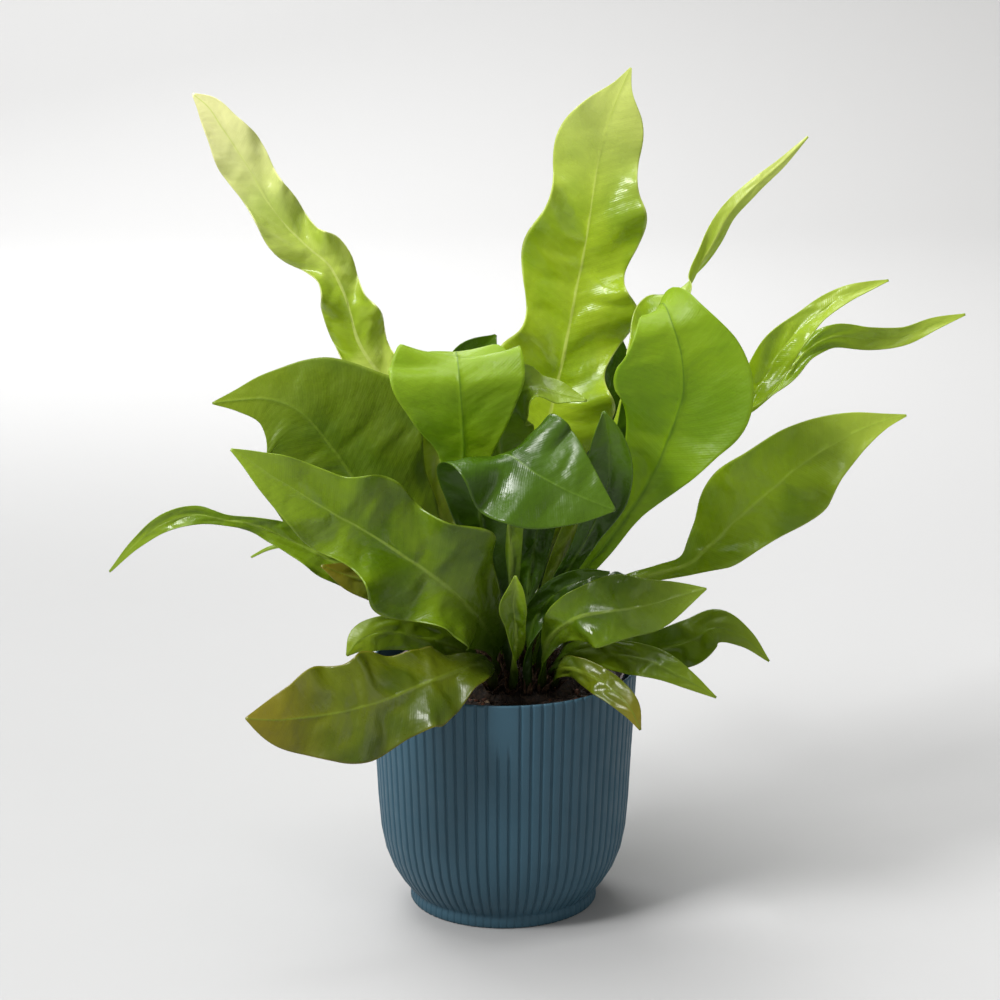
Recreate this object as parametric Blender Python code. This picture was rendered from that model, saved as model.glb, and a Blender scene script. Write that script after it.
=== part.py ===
"""Bird's nest fern with crisped fronds, in its nursery pot, standing in a ribbed cover pot.

Run with: blender --background --python part.py
Every solid is a separate object. World frame: +Z up, -Y is the front, and the origin is the
centre of the cover pot's flat underside. Sizes below are in millimetres; MM turns them into
Blender's metres when a mesh is made.
"""
import bpy
import numpy as np
from math import cos, hypot, pi, radians, sin, sqrt
from typing import NamedTuple

MM = 0.001
GAP = 0.3                     # clearance between solids that rest on each other
SHARP_ANGLE = 40.0            # edges sharper than this many degrees stay crisp

# Cover pot: a turned plastic pot whose outer wall carries narrow vertical grooves
COVER_GROOVES = 75
COVER_GROOVE_DEPTH = 0.9
PANEL_LOW_Z = 104.0           # the two grooves beside the front crest stop here: a plain panel
# (radius, height) of the rib crests, from the foot up to the rim
COVER_OUTER = ((48.6, 0.0), (49.2, 1.0), (48.6, 6.4), (50.6, 8.6), (54.6, 14.0), (58.8, 21.0),
               (62.3, 30.0), (64.5, 41.0), (67.2, 84.0), (68.4, 104.0), (69.8, 128.6), (69.6, 130.0))
# (radius, height) of the plain inner wall, from the rim down to the floor
COVER_INNER = ((68.2, 130.0), (65.3, 84.0), (62.5, 41.0), (60.0, 29.0), (54.0, 17.5),
               (48.6, 10.5), (45.8, 3.5))
FOOT_BANDS = 2                # lowest bands of COVER_OUTER, which form the smooth foot ring

# Nursery pot: thin thermoformed plastic, a little off centre inside the cover pot
NURSERY_CENTRE = (2.0, 1.0)
NURSERY_SEGMENTS = 48
NURSERY_BASE_Z = COVER_INNER[-1][1] + GAP
NURSERY_BASE_RADIUS = 42.5
NURSERY_COLLAR_RADIUS = 61.5
NURSERY_COLLAR_Z = 115.0
NURSERY_RIM_Z = 126.0
NURSERY_MID_Z = 60.0
NURSERY_BEND = 4.0            # height of the rounding between the floor and the wall
NURSERY_EDGE = 1.5            # bevel around the underside
NURSERY_WALL = 1.2
NURSERY_COLLAR_STEP = 0.8     # height over which the collar steps out
NURSERY_LIP = 2.2             # how far the collar stands out from the wall below it
DRAIN_HOLES = 6
DRAIN_HOLE_RADIUS = 3.6
DRAIN_HOLE_RING = 30.0
DRAIN_HOLE_SIDES = 12
DRILL_REACH = 2.0             # how far the drill stands out on both sides of the floor

# Crown: the rhizome from which every frond grows, and the potting mix around it
CROWN_CENTRE = (8.0, 0.0)
CROWN_RADIUS = 31.0
CROWN_BASE_Z = 112.0
CROWN_SEGMENTS = 24
CROWN_PROFILE = ((31.0, 112.0), (31.0, 118.0), (29.6, 120.4), (27.0, 122.4), (20.0, 126.5),
                 (13.0, 129.5), (6.0, 131.5))
CROWN_TOP_Z = 132.2
# Rings of frond bases on the crown: (radius, height), inner and upright first
RINGS = ((6.0, 133.0), (13.0, 131.0), (20.0, 128.0), (27.0, 124.0))
SOIL_LEVEL = 117.0
SOIL_BUMP = 1.6
SOIL_SEGMENTS = 40
SOIL_SHOULDER_Z = 113.0       # where the mix leaves the wall and rounds over
SOIL_EDGE = 1.0               # width of that rounding
SOIL_BASE_EDGE = 2.0          # and of the one around the bottom
CROWN_POCKET = 1.0            # gap between the mix and the crown

# Fronds: a leathery blade, thicker in the stalk
STALK_HALF_WIDTH = 2.2
STALK_THICKNESS = 2.0
BLADE_THICKNESS = 0.8
TIP_THICKNESS = 0.5
FROND_STEP = 25.0             # longest mesh step along a frond
STEPS_PER_WAVE = 5.0
LEAST_STEPS = 6
LEAST_HALF_WIDTH = 0.15
CURVE_SAMPLES = 201           # fineness with which a frond's length is measured
WAVE_DRIFT = 0.02             # unevenness of the waves along a frond, as a share of its length
WAVE_SLANT = 0.05             # how far a wave leans towards the tip on its way to the margin
WAVE_SCALLOP = 40.0           # wave height that would double the width
WAVE_SWAY = 0.35              # shift along the frond, as a share of the wave height
STEPS_ACROSS = 2              # mesh steps from the rib to each margin


class Frond(NamedTuple):
    """One frond. rib holds (x, y, z, half width, roll in degrees) from the stalk to the tip."""
    name: str
    ring: int                 # which ring of the crown the stalk stands on
    azimuth: float            # direction of the stalk's outer side, degrees from +X
    fold: tuple               # degrees that each half lifts at the rib, base to tip
    curl: tuple               # further degrees gained from the rib to the margin, base to tip
    waves: tuple              # margin waves: count, height, phase of each side in turns
    rib: tuple


FRONDS = (
    Frond("tall_centre", ring=0, azimuth=95, fold=(10, 4), curl=(10, 0), waves=(5.5, 8, 0.1, 0.55), rib=(
        (12, 18, 177, 10, -5), (19, 28, 226, 21, -5), (26, 38, 261, 28, -5), (32, 44, 287, 29, -5),
        (38, 50, 318, 29, -5), (43, 55, 343, 27, -5), (47, 60, 369, 25, -5), (51, 64, 392, 22, -5),
        (57, 67, 410, 15, -5), (62, 69, 422, 5, -10), (66, 70, 431, 0.5, -10))),
    Frond("tall_left", ring=0, azimuth=208, fold=(8, 5), curl=(20, 10), waves=(8.0, 8, 0.0, 0.45), rib=(
        (-12, 12, 160, 3, -130), (-28, 18, 191, 6, -120), (-41, 22, 227, 11, -110),
        (-50, 25, 249, 16, -110), (-61, 28, 272, 17, -105), (-75, 30, 295, 15, -110),
        (-81, 33, 315, 12, -110), (-89, 35, 333, 12, -105), (-105, 37, 347, 13, -100),
        (-120, 38, 365, 12, -105), (-132, 40, 386, 13, -105), (-144, 40, 405, 10, -105),
        (-152, 40, 417, 6, -100), (-159, 40, 423, 0.5, -100))),
    Frond("twisted_right", ring=0, azimuth=350, fold=(10, 10), curl=(10, 10), waves=(4.0, 4, 0.0, 0.3), rib=(
        (27, 8, 178, 5, 95), (55, 16, 235, 8, 70), (76, 24, 281, 11, 65), (83, 36, 308, 16, 60),
        (92, 44, 316, 12, 30), (97, 50, 321, 7, 0), (102, 53, 330, 6, -40), (110, 56, 343, 6, -60),
        (117, 58, 356, 5, -70), (129, 60, 369, 4, -85), (145, 62, 383, 2.5, -85),
        (158, 64, 396, 0.5, -85))),
    Frond("back_left", ring=0, azimuth=145, fold=(10, 10), curl=(20, 20), waves=(3, 3, 0.0, 0.4), rib=(
        (-9, 32, 176, 5, -50), (-11, 44, 202, 12, -55), (-12, 52, 230, 19, -55),
        (-15, 56, 259, 19, -55), (-13, 58, 279, 14, -60), (-4, 60, 291, 0.5, -70))),
    Frond("back_right", ring=1, azimuth=54, fold=(10, 10), curl=(20, 20), waves=(3, 3, 0.0, 0.4), rib=(
        (27, 24, 176, 8, 35), (44, 46, 216, 17, 35), (52, 60, 243, 20, 35), (58, 68, 269, 14, 35),
        (62, 72, 287, 0.5, 35))),
    Frond("inner_tip", ring=0, azimuth=290, fold=(10, 10), curl=(20, 20), waves=(1.5, 1, 0.0, 0.4), rib=(
        (15, -4, 187, 8, 155), (21, -12, 226, 11, 150), (29, -17, 245, 9, 105), (38, -20, 245, 5, 40),
        (47, -22, 242, 0.5, 20))),
    Frond("right_upper", ring=1, azimuth=353, fold=(15, 15), curl=(20, 10), waves=(4.0, 4, 0.0, 0.5), rib=(
        (37, 4, 176, 3.5, 55), (66, 10, 215, 5, 45), (97, 14, 249, 7, 40), (120, 17, 261, 8, 50),
        (133, 19, 275, 10, 65), (143, 21, 292, 10, 65), (158, 23, 308, 8, 60), (176, 24, 321, 5, 60),
        (189, 24, 326, 2.5, 60), (198, 24, 329, 0.5, 60))),
    Frond("right_lower", ring=1, azimuth=30, fold=(10, 10), curl=(20, 10), waves=(3.5, 4, 0.2, 0.5), rib=(
        (41, 16, 170, 3.5, 25), (77, 28, 215, 5, 15), (113, 34, 252, 6, 30), (136, 37, 266, 7, 35),
        (149, 38, 277, 6, 45), (158, 39, 288, 6, 45), (171, 40, 295, 6, 65), (189, 40, 294, 6, 75),
        (207, 40, 295, 5, 65), (224, 40, 302, 3.5, 65), (240, 40, 307, 0.5, 65))),
    Frond("far_right", ring=2, azimuth=5, fold=(0, 5), curl=(0, 10), waves=(3.0, 5, 0.0, 0.4), rib=(
        (43, 4, 160, 3, 45), (63, 6, 172, 3.5, 50), (81, 6, 177, 4, 60), (96, 5, 182, 6, 70),
        (108, 4, 193, 15, 70), (121, 3, 207, 22, 70), (137, 2, 222, 24, 70), (154, 2, 237, 23, 70),
        (169, 2, 247, 17, 70), (183, 2, 255, 10, 70), (196, 2, 260, 4, 70), (207, 2, 263, 0.5, 75))),
    Frond("broad_right", ring=1, azimuth=303, fold=(0, 0), curl=(-10, -30), waves=(2.5, 5, 0.0, 0.3), rib=(
        (30, -16, 170, 4, -50), (51, -24, 200, 5, -55), (66, -29, 223, 7, -50),
        (76, -33, 242, 16, -45), (84, -37, 264, 26, -45), (90, -39, 285, 34, -40),
        (89, -39, 306, 31, -35), (84, -35, 322, 19, -35), (81, -26, 328, 12, -40),
        (79, -16, 326, 0.5, -60))),
    Frond("inner_right", ring=1, azimuth=328, fold=(10, 10), curl=(20, 20), waves=(1.5, 1, 0.0, 0.4), rib=(
        (35, -8, 176, 5, 110), (55, -16, 211, 9, 110), (64, -22, 241, 13, 115),
        (66, -24, 262, 10, 120), (64, -24, 278, 5, 125), (62, -24, 288, 0.5, 125))),
    Frond("yellow_left", ring=1, azimuth=218, fold=(0, 0), curl=(0, -20), waves=(2.5, 3, 0.0, 0.4), rib=(
        (-6, -9, 172, 4, 55), (-14, -22, 209, 5, 55), (-21, -34, 239, 8, 55), (-20, -40, 259, 16, 50),
        (-21, -44, 279, 27, 55), (-22, -43, 294, 34, 50), (-23, -34, 301, 33, 20),
        (-24, -22, 301, 22, -10), (-24, -12, 300, 0.5, -10))),
    Frond("arching_tip", ring=1, azimuth=243, fold=(0, 0), curl=(0, -20), waves=(2.0, 2, 0.0, 0.3), rib=(
        (4, -18, 191, 5, 30), (0, -20, 235, 12, 30), (-2, -24, 265, 18, 25), (2, -28, 280, 18, 0),
        (13, -32, 286, 13, 15), (28, -34, 284, 7, 65), (42, -36, 281, 0.5, 65))),
    Frond("olive_left", ring=1, azimuth=175, fold=(0, 0), curl=(10, 0), waves=(2.5, 4, 0.0, 0.4), rib=(
        (-17, 3, 153, 4, 105), (-38, 5, 176, 11, 105), (-58, 4, 203, 29, 105), (-77, 2, 229, 43, 105),
        (-92, 1, 251, 45, 105), (-105, 0, 266, 32, 105), (-121, 0, 272, 15, 105),
        (-136, -2, 272, 6, 105), (-149, -4, 271, 0.5, 105))),
    Frond("curled_front", ring=2, azimuth=262, fold=(0, 0), curl=(0, 0), waves=(1.5, 2, 0.0, 0.4), rib=(
        (-3, -26, 178, 6, 10), (-9, -39, 206, 10, 10), (-12, -51, 233, 17, 5), (-9, -63, 255, 25, 15),
        (2, -77, 264, 30, 20), (17, -88, 257, 30, 0), (38, -95, 248, 16, -15),
        (55, -98, 242, 0.5, -25))),
    Frond("young_right", ring=2, azimuth=300, fold=(15, 15), curl=(30, 30), waves=(1.5, 2, 0.0, 0.4), rib=(
        (27, -26, 178, 5, 140), (43, -38, 211, 7, 135), (52, -45, 237, 13, 145),
        (53, -48, 256, 13, 150), (52, -49, 269, 8, 150), (50, -49, 279, 0.5, 150))),
    Frond("broad_left", ring=2, azimuth=232, fold=(15, 12), curl=(20, 20), waves=(3.5, 7, 0.0, 0.4), rib=(
        (-6, -31, 152, 8, -100), (-16, -45, 172, 22, -90), (-31, -53, 190, 31, -95),
        (-51, -57, 206, 31, -100), (-71, -58, 220, 27, -100), (-89, -60, 231, 22, -95),
        (-105, -61, 242, 16, -100), (-120, -62, 252, 10, -100), (-128, -62, 258, 5, -100),
        (-136, -62, 263, 0.5, -100))),
    Frond("long_left", ring=2, azimuth=178, fold=(12, 12), curl=(10, 10), waves=(4.0, 3, 0.0, 0.4), rib=(
        (-33, -2, 157, 4, -45), (-56, -8, 170, 7, -50), (-82, -14, 186, 10, -60),
        (-99, -17, 196, 10, -60), (-115, -19, 205, 7, -60), (-128, -20, 211, 4, -70),
        (-142, -22, 214, 3, -70), (-157, -23, 217, 5, -75), (-171, -24, 214, 5, -75),
        (-187, -24, 203, 3, -80), (-202, -24, 187, 0.5, -85))),
    Frond("thread_left", ring=2, azimuth=158, fold=(10, 10), curl=(10, 10), waves=(2.0, 1, 0.0, 0.4), rib=(
        (-33, 14, 157, 5, -30), (-65, 20, 173, 7, -45), (-91, 26, 182, 4, -45),
        (-112, 30, 185, 1.5, -75), (-124, 32, 182, 1, -85), (-133, 33, 177, 0.5, -90))),
    Frond("dark_left", ring=2, azimuth=198, fold=(5, 5), curl=(10, 10), waves=(2.0, 2, 0.0, 0.4), rib=(
        (-27, -12, 153, 4, -60), (-46, -22, 169, 8, -65), (-64, -28, 181, 10, -60),
        (-81, -33, 188, 7, -60), (-93, -36, 194, 0.5, -60))),
    Frond("short_left", ring=2, azimuth=215, fold=(0, 0), curl=(0, -20), waves=(2.0, 2, 0.0, 0.4), rib=(
        (-23, -26, 146, 5, -100), (-44, -36, 156, 8, -80), (-61, -41, 160, 9, -70),
        (-73, -44, 157, 7, -55), (-80, -46, 149, 0.5, -55))),
    Frond("low_left", ring=3, azimuth=240, fold=(5, 0), curl=(0, -10), waves=(4.0, 4, 0.0, 0.4), rib=(
        (-8, -42, 144, 6, -35), (-21, -60, 146, 15, -20), (-40, -76, 144, 22, -35),
        (-59, -88, 140, 25, -50), (-79, -97, 137, 25, -60), (-98, -103, 136, 21, -70),
        (-113, -107, 136, 13, -75), (-122, -109, 137, 6, -80), (-128, -110, 138, 0.5, -80))),
    Frond("young_front", ring=3, azimuth=262, fold=(15, 15), curl=(30, 30), waves=(1.0, 0.5, 0.0, 0.4), rib=(
        (6, -46, 166, 6, -170), (5, -50, 179, 8, -175), (6, -52, 187, 5, -175),
        (6, -53, 194, 0.5, -175))),
    Frond("inner_front", ring=3, azimuth=279, fold=(10, 10), curl=(20, 20), waves=(1.5, 1, 0.0, 0.4), rib=(
        (18, -27, 166, 7, 150), (29, -34, 180, 8, 130), (43, -39, 188, 6, 120),
        (54, -41, 192, 0.5, 120))),
    Frond("pale_right", ring=3, azimuth=295, fold=(0, 0), curl=(0, 0), waves=(2.5, 4, 0.0, 0.4), rib=(
        (25, -42, 159, 7, 125), (39, -52, 172, 15, 100), (55, -58, 177, 17, 95),
        (71, -62, 181, 14, 95), (86, -64, 186, 9, 100), (102, -65, 191, 0.5, 100))),
    Frond("low_right", ring=3, azimuth=312, fold=(0, 0), curl=(-10, -10), waves=(2.0, 2, 0.0, 0.4), rib=(
        (30, -38, 140, 5, 85), (44, -56, 142, 7, 60), (55, -68, 138, 7, 50), (64, -76, 131, 5, 45),
        (69, -80, 121, 0.5, 40))),
    Frond("right_point", ring=2, azimuth=318, fold=(0, 0), curl=(-10, -10), waves=(2.0, 2, 0.0, 0.4), rib=(
        (34, -28, 144, 5, 90), (57, -42, 148, 8, 70), (77, -52, 147, 8, 60), (92, -58, 141, 5, 55),
        (108, -62, 132, 0.5, 55))),
    Frond("yellow_droop", ring=2, azimuth=336, fold=(5, 5), curl=(-10, -10), waves=(2.0, 3, 0.0, 0.4), rib=(
        (40, -14, 143, 6, 80), (60, -24, 145, 8, 70), (79, -30, 147, 10, 75), (96, -34, 153, 12, 80),
        (110, -36, 161, 9, 75), (123, -38, 156, 5, 65), (136, -40, 144, 0.5, 65))),
    Frond("rear_a", ring=1, azimuth=84, fold=(10, 10), curl=(20, 0), waves=(4, 4, 0, 0.4), rib=(
        (36, 46, 172, 8, 0), (58, 80, 205, 20, 0), (76, 116, 220, 20, 0), (92, 148, 212, 0.5, 0))),
    Frond("rear_b", ring=1, azimuth=109, fold=(10, 10), curl=(20, 0), waves=(4, 4, 0, 0.4), rib=(
        (8, 48, 178, 10, 0), (4, 94, 220, 20, 0), (0, 138, 238, 20, 0), (-2, 174, 230, 0.5, 0))),
    Frond("rear_c", ring=1, azimuth=135, fold=(10, 10), curl=(20, 0), waves=(4, 4, 0, 0.4), rib=(
        (-20, 42, 168, 10, 0), (-50, 74, 192, 20, 0), (-78, 102, 200, 16, 0), (-98, 120, 192, 0.5, 0))),
    Frond("rear_d", ring=2, azimuth=72, fold=(10, 10), curl=(0, -20), waves=(3, 3, 0, 0.4), rib=(
        (24, 50, 146, 10, 0), (32, 84, 160, 18, 0), (40, 114, 158, 14, 0), (44, 138, 148, 0.5, 0))),
    Frond("rear_e", ring=2, azimuth=45, fold=(10, 10), curl=(0, -20), waves=(3, 3, 0, 0.4), rib=(
        (42, 36, 142, 10, 0), (66, 56, 152, 16, 0), (86, 72, 150, 12, 0), (98, 82, 140, 0.5, 0))),
    Frond("rear_f", ring=2, azimuth=126, fold=(10, 10), curl=(0, -20), waves=(3, 3, 0, 0.4), rib=(
        (-18, 36, 144, 10, 0), (-40, 58, 154, 15, 0), (-58, 74, 152, 10, 0), (-70, 84, 144, 0.5, 0))),)

# Surface of each frond: colour (linear RGB) and roughness
LIGHT_LEAF = ((0.31, 0.46, 0.045), 0.34)
MID_LEAF = ((0.17, 0.31, 0.030), 0.32)
DEEP_LEAF = ((0.085, 0.19, 0.022), 0.36)
LEAF_FINISH = {
    "tall_centre": LIGHT_LEAF, "tall_left": LIGHT_LEAF, "yellow_left": LIGHT_LEAF,
    "broad_right": LIGHT_LEAF, "pale_right": LIGHT_LEAF, "arching_tip": LIGHT_LEAF,
    "curled_front": DEEP_LEAF, "young_right": DEEP_LEAF, "olive_left": DEEP_LEAF,
    "dark_left": DEEP_LEAF, "low_left": DEEP_LEAF, "inner_right": DEEP_LEAF,
}


def clear_scene():
    for thing in list(bpy.data.objects):
        bpy.data.objects.remove(thing, do_unlink=True)


def material(name, colour, roughness):
    made = bpy.data.materials.new(name)
    made.use_nodes = True
    shader = made.node_tree.nodes["Principled BSDF"]
    shader.inputs["Base Color"].default_value = (*colour, 1.0)
    shader.inputs["Roughness"].default_value = roughness
    return made


def add_object(name, points, faces, finish):
    """Makes a smooth-shaded object from points in millimetres."""
    mesh = bpy.data.meshes.new(name)
    mesh.from_pydata((np.asarray(points, float) * MM).tolist(), [], faces)
    mesh.validate()
    mesh.shade_smooth()
    mesh.set_sharp_from_angle(angle=radians(SHARP_ANGLE))
    mesh.materials.append(finish)
    made = bpy.data.objects.new(name, mesh)
    bpy.context.scene.collection.objects.link(made)
    return made


def circle(count, radius, height, centre=(0.0, 0.0)):
    """Points around a circle, starting at the front."""
    turns = [2 * pi * k / count - pi / 2 for k in range(count)]
    return [(centre[0] + radius * cos(t), centre[1] + radius * sin(t), height) for t in turns]


def wall(lower, upper, count):
    """Quads between two rings of the same count; they face outward when upper is above lower."""
    around = range(count)
    return [(lower + k, lower + (k + 1) % count, upper + (k + 1) % count, upper + k) for k in around]


def turned(profile, count, centre):
    """Rings of points along a profile, and the walls between them, closed at neither end."""
    points = []
    faces = []
    for index, (radius, height) in enumerate(profile):
        points += circle(count, radius, height, centre)
        if index:
            faces += wall((index - 1) * count, index * count, count)
    return points, faces


def cap(points, faces, start, count, height, centre, upward):
    """Closes a ring with a fan to a point on its axis."""
    points.append((centre[0], centre[1], height))
    tip = len(points) - 1
    for k in range(count):
        one = start + k
        two = start + (k + 1) % count
        faces.append((one, two, tip) if upward else (two, one, tip))


def build_cover_pot():
    """Ribbed outer wall, plain inner wall, closed floor. A crest faces the front, then a groove
    and a crest alternate around."""
    outer = 2 * COVER_GROOVES
    inner = COVER_GROOVES
    points = []
    faces = []
    for index, (crest, height) in enumerate(COVER_OUTER):
        for k in range(outer):
            turn = 2 * pi * k / outer - pi / 2
            beside_panel = k in (1, outer - 1) and height >= PANEL_LOW_Z
            plain = k % 2 == 0 or index <= FOOT_BANDS or beside_panel
            radius = crest if plain else crest - COVER_GROOVE_DEPTH
            points.append((radius * cos(turn), radius * sin(turn), height))
        if index:
            faces += wall((index - 1) * outer, index * outer, outer)
    rim_start = (len(COVER_OUTER) - 1) * outer
    inner_start = len(points)
    for index, (radius, height) in enumerate(COVER_INNER):
        points += circle(inner, radius, height)
        if index:
            faces += wall(inner_start + (index - 1) * inner, inner_start + index * inner, inner)
    for k in range(inner):
        crest = rim_start + 2 * k
        groove = crest + 1
        next_crest = rim_start + (2 * k + 2) % outer
        here = inner_start + k
        there = inner_start + (k + 1) % inner
        faces += [(crest, groove, here), (groove, there, here), (groove, next_crest, there)]
    floor_start = inner_start + (len(COVER_INNER) - 1) * inner
    cap(points, faces, floor_start, inner, COVER_INNER[-1][1], (0.0, 0.0), upward=True)
    cap(points, faces, 0, outer, COVER_OUTER[0][1], (0.0, 0.0), upward=False)
    plastic = material("cover_pot_plastic", (0.045, 0.098, 0.135), 0.46)
    return add_object("cover_pot", points, faces, plastic)


def nursery_radius(height):
    """Outer radius of the nursery pot's tapered wall at a height."""
    share = (height - NURSERY_BASE_Z) / (NURSERY_COLLAR_Z - NURSERY_BASE_Z)
    top = NURSERY_COLLAR_RADIUS - NURSERY_LIP
    return NURSERY_BASE_RADIUS + (top - NURSERY_BASE_RADIUS) * share


def build_nursery_pot():
    """Tapered pot with a stepped collar, and drain holes in its floor."""
    collar_inner = NURSERY_COLLAR_RADIUS - NURSERY_WALL
    floor_z = NURSERY_BASE_Z + NURSERY_WALL
    bend_z = NURSERY_BASE_Z + NURSERY_BEND
    step_z = NURSERY_COLLAR_Z + NURSERY_COLLAR_STEP
    profile = (
        (NURSERY_BASE_RADIUS - NURSERY_EDGE, NURSERY_BASE_Z),
        (NURSERY_BASE_RADIUS, NURSERY_BASE_Z + NURSERY_EDGE),
        (nursery_radius(NURSERY_MID_Z), NURSERY_MID_Z),
        (nursery_radius(NURSERY_COLLAR_Z), NURSERY_COLLAR_Z),
        (NURSERY_COLLAR_RADIUS, step_z),
        (NURSERY_COLLAR_RADIUS, NURSERY_RIM_Z),
        (collar_inner, NURSERY_RIM_Z),
        (collar_inner, step_z + NURSERY_WALL),
        (nursery_radius(NURSERY_COLLAR_Z) - NURSERY_WALL, step_z),
        (nursery_radius(NURSERY_MID_Z) - NURSERY_WALL, NURSERY_MID_Z),
        (nursery_radius(bend_z) - NURSERY_WALL, bend_z),
        (NURSERY_BASE_RADIUS - NURSERY_EDGE - NURSERY_WALL, floor_z),
    )
    points, faces = turned(profile, NURSERY_SEGMENTS, NURSERY_CENTRE)
    last = (len(profile) - 1) * NURSERY_SEGMENTS
    cap(points, faces, last, NURSERY_SEGMENTS, floor_z, NURSERY_CENTRE, upward=True)
    cap(points, faces, 0, NURSERY_SEGMENTS, NURSERY_BASE_Z, NURSERY_CENTRE, upward=False)
    plastic = material("nursery_pot_plastic", (0.20, 0.17, 0.18), 0.5)
    pot = add_object("nursery_pot", points, faces, plastic)
    drill_drain_holes(pot, plastic)
    return pot


def drill_drain_holes(pot, plastic):
    points = []
    faces = []
    sides = DRAIN_HOLE_SIDES
    low = NURSERY_BASE_Z - DRILL_REACH
    high = NURSERY_BASE_Z + NURSERY_WALL + DRILL_REACH
    for hole in range(DRAIN_HOLES):
        turn = 2 * pi * hole / DRAIN_HOLES
        centre = (NURSERY_CENTRE[0] + DRAIN_HOLE_RING * cos(turn),
                  NURSERY_CENTRE[1] + DRAIN_HOLE_RING * sin(turn))
        start = len(points)
        points += circle(sides, DRAIN_HOLE_RADIUS, low, centre)
        points += circle(sides, DRAIN_HOLE_RADIUS, high, centre)
        faces += wall(start, start + sides, sides)
        faces.append(tuple(reversed(range(start, start + sides))))
        faces.append(tuple(range(start + sides, start + 2 * sides)))
    cutter = add_object("drain_hole_cutter", points, faces, plastic)
    cutter.hide_render = True
    cutter.display_type = "WIRE"
    cut = pot.modifiers.new("drain holes", "BOOLEAN")
    cut.operation = "DIFFERENCE"
    cut.solver = "EXACT"
    cut.object = cutter


def soil_wall_distance(turn, height):
    """Distance from the crown's axis to the nursery pot's inner wall, in a direction."""
    radius = nursery_radius(height) - NURSERY_WALL - GAP
    offset_x = NURSERY_CENTRE[0] - CROWN_CENTRE[0]
    offset_y = NURSERY_CENTRE[1] - CROWN_CENTRE[1]
    along = offset_x * cos(turn) + offset_y * sin(turn)
    return along + sqrt(radius ** 2 - hypot(offset_x, offset_y) ** 2 + along ** 2)


def soil_bump(x, y):
    waves = sin(0.31 * x + 0.8) * cos(0.27 * y - 0.4) + 0.6 * sin(0.53 * x - 0.41 * y)
    return SOIL_BUMP * waves / 1.6


def build_soil():
    """Bumpy potting mix that fills the nursery pot, with a pocket for the crown."""
    pocket_radius = CROWN_RADIUS + CROWN_POCKET
    pocket_z = CROWN_BASE_Z - GAP
    base_z = NURSERY_BASE_Z + NURSERY_WALL + GAP
    points = []
    faces = []
    levels = (base_z, NURSERY_BASE_Z + NURSERY_BEND + GAP, NURSERY_MID_Z, SOIL_SHOULDER_Z)
    shares = (1.0, 0.66, 0.33, 0.0)       # rings of the surface, from the wall to the crown
    turns = [2 * pi * k / SOIL_SEGMENTS - pi / 2 for k in range(SOIL_SEGMENTS)]
    for index, height in enumerate(levels):
        for turn in turns:
            reach = soil_wall_distance(turn, height) - (SOIL_BASE_EDGE if index == 0 else 0.0)
            points.append((CROWN_CENTRE[0] + reach * cos(turn), CROWN_CENTRE[1] + reach * sin(turn),
                           height))
    for share in shares:
        for turn in turns:
            outer = soil_wall_distance(turn, SOIL_SHOULDER_Z) - SOIL_EDGE * share
            reach = pocket_radius + (outer - pocket_radius) * share
            x = CROWN_CENTRE[0] + reach * cos(turn)
            y = CROWN_CENTRE[1] + reach * sin(turn)
            points.append((x, y, SOIL_LEVEL + soil_bump(x, y)))
    points += circle(SOIL_SEGMENTS, pocket_radius, pocket_z, CROWN_CENTRE)
    rings = len(levels) + len(shares) + 1
    for ring in range(1, rings):
        faces += wall((ring - 1) * SOIL_SEGMENTS, ring * SOIL_SEGMENTS, SOIL_SEGMENTS)
    last = (rings - 1) * SOIL_SEGMENTS
    cap(points, faces, last, SOIL_SEGMENTS, pocket_z, CROWN_CENTRE, upward=True)
    cap(points, faces, 0, SOIL_SEGMENTS, levels[0], CROWN_CENTRE, upward=False)
    peat = material("potting_mix", (0.030, 0.017, 0.010), 0.95)
    return add_object("potting_soil", points, faces, peat)


def build_crown():
    """The domed rhizome; its surface follows the rings of frond bases just below them."""
    points, faces = turned(CROWN_PROFILE, CROWN_SEGMENTS, CROWN_CENTRE)
    last = (len(CROWN_PROFILE) - 1) * CROWN_SEGMENTS
    cap(points, faces, last, CROWN_SEGMENTS, CROWN_TOP_Z, CROWN_CENTRE, upward=True)
    cap(points, faces, 0, CROWN_SEGMENTS, CROWN_BASE_Z, CROWN_CENTRE, upward=False)
    scales = material("rhizome_scales", (0.055, 0.032, 0.016), 0.85)
    return add_object("rhizome_crown", points, faces, scales)


def smooth_curve(points, shares):
    """Catmull-Rom curve through rows whose first three columns are x, y, z."""
    rows = np.asarray(points, float)
    chords = np.linalg.norm(np.diff(rows[:, :3], axis=0), axis=1)
    knots = np.concatenate([[0.0], np.cumsum(chords)])
    knots /= knots[-1]
    slopes = np.gradient(rows, knots, axis=0)
    span = np.clip(np.searchsorted(knots, shares, side="right") - 1, 0, len(rows) - 2)
    width = (knots[span + 1] - knots[span])[:, None]
    s = (shares - knots[span])[:, None] / width
    start = (2 * s ** 3 - 3 * s ** 2 + 1) * rows[span]
    start_slope = (s ** 3 - 2 * s ** 2 + s) * slopes[span] * width
    end = (3 * s ** 2 - 2 * s ** 3) * rows[span + 1]
    end_slope = (s ** 3 - s ** 2) * slopes[span + 1] * width
    return start + start_slope + end + end_slope


def unit(vectors):
    return vectors / np.maximum(np.linalg.norm(vectors, axis=-1, keepdims=True), 1e-9)


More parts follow.
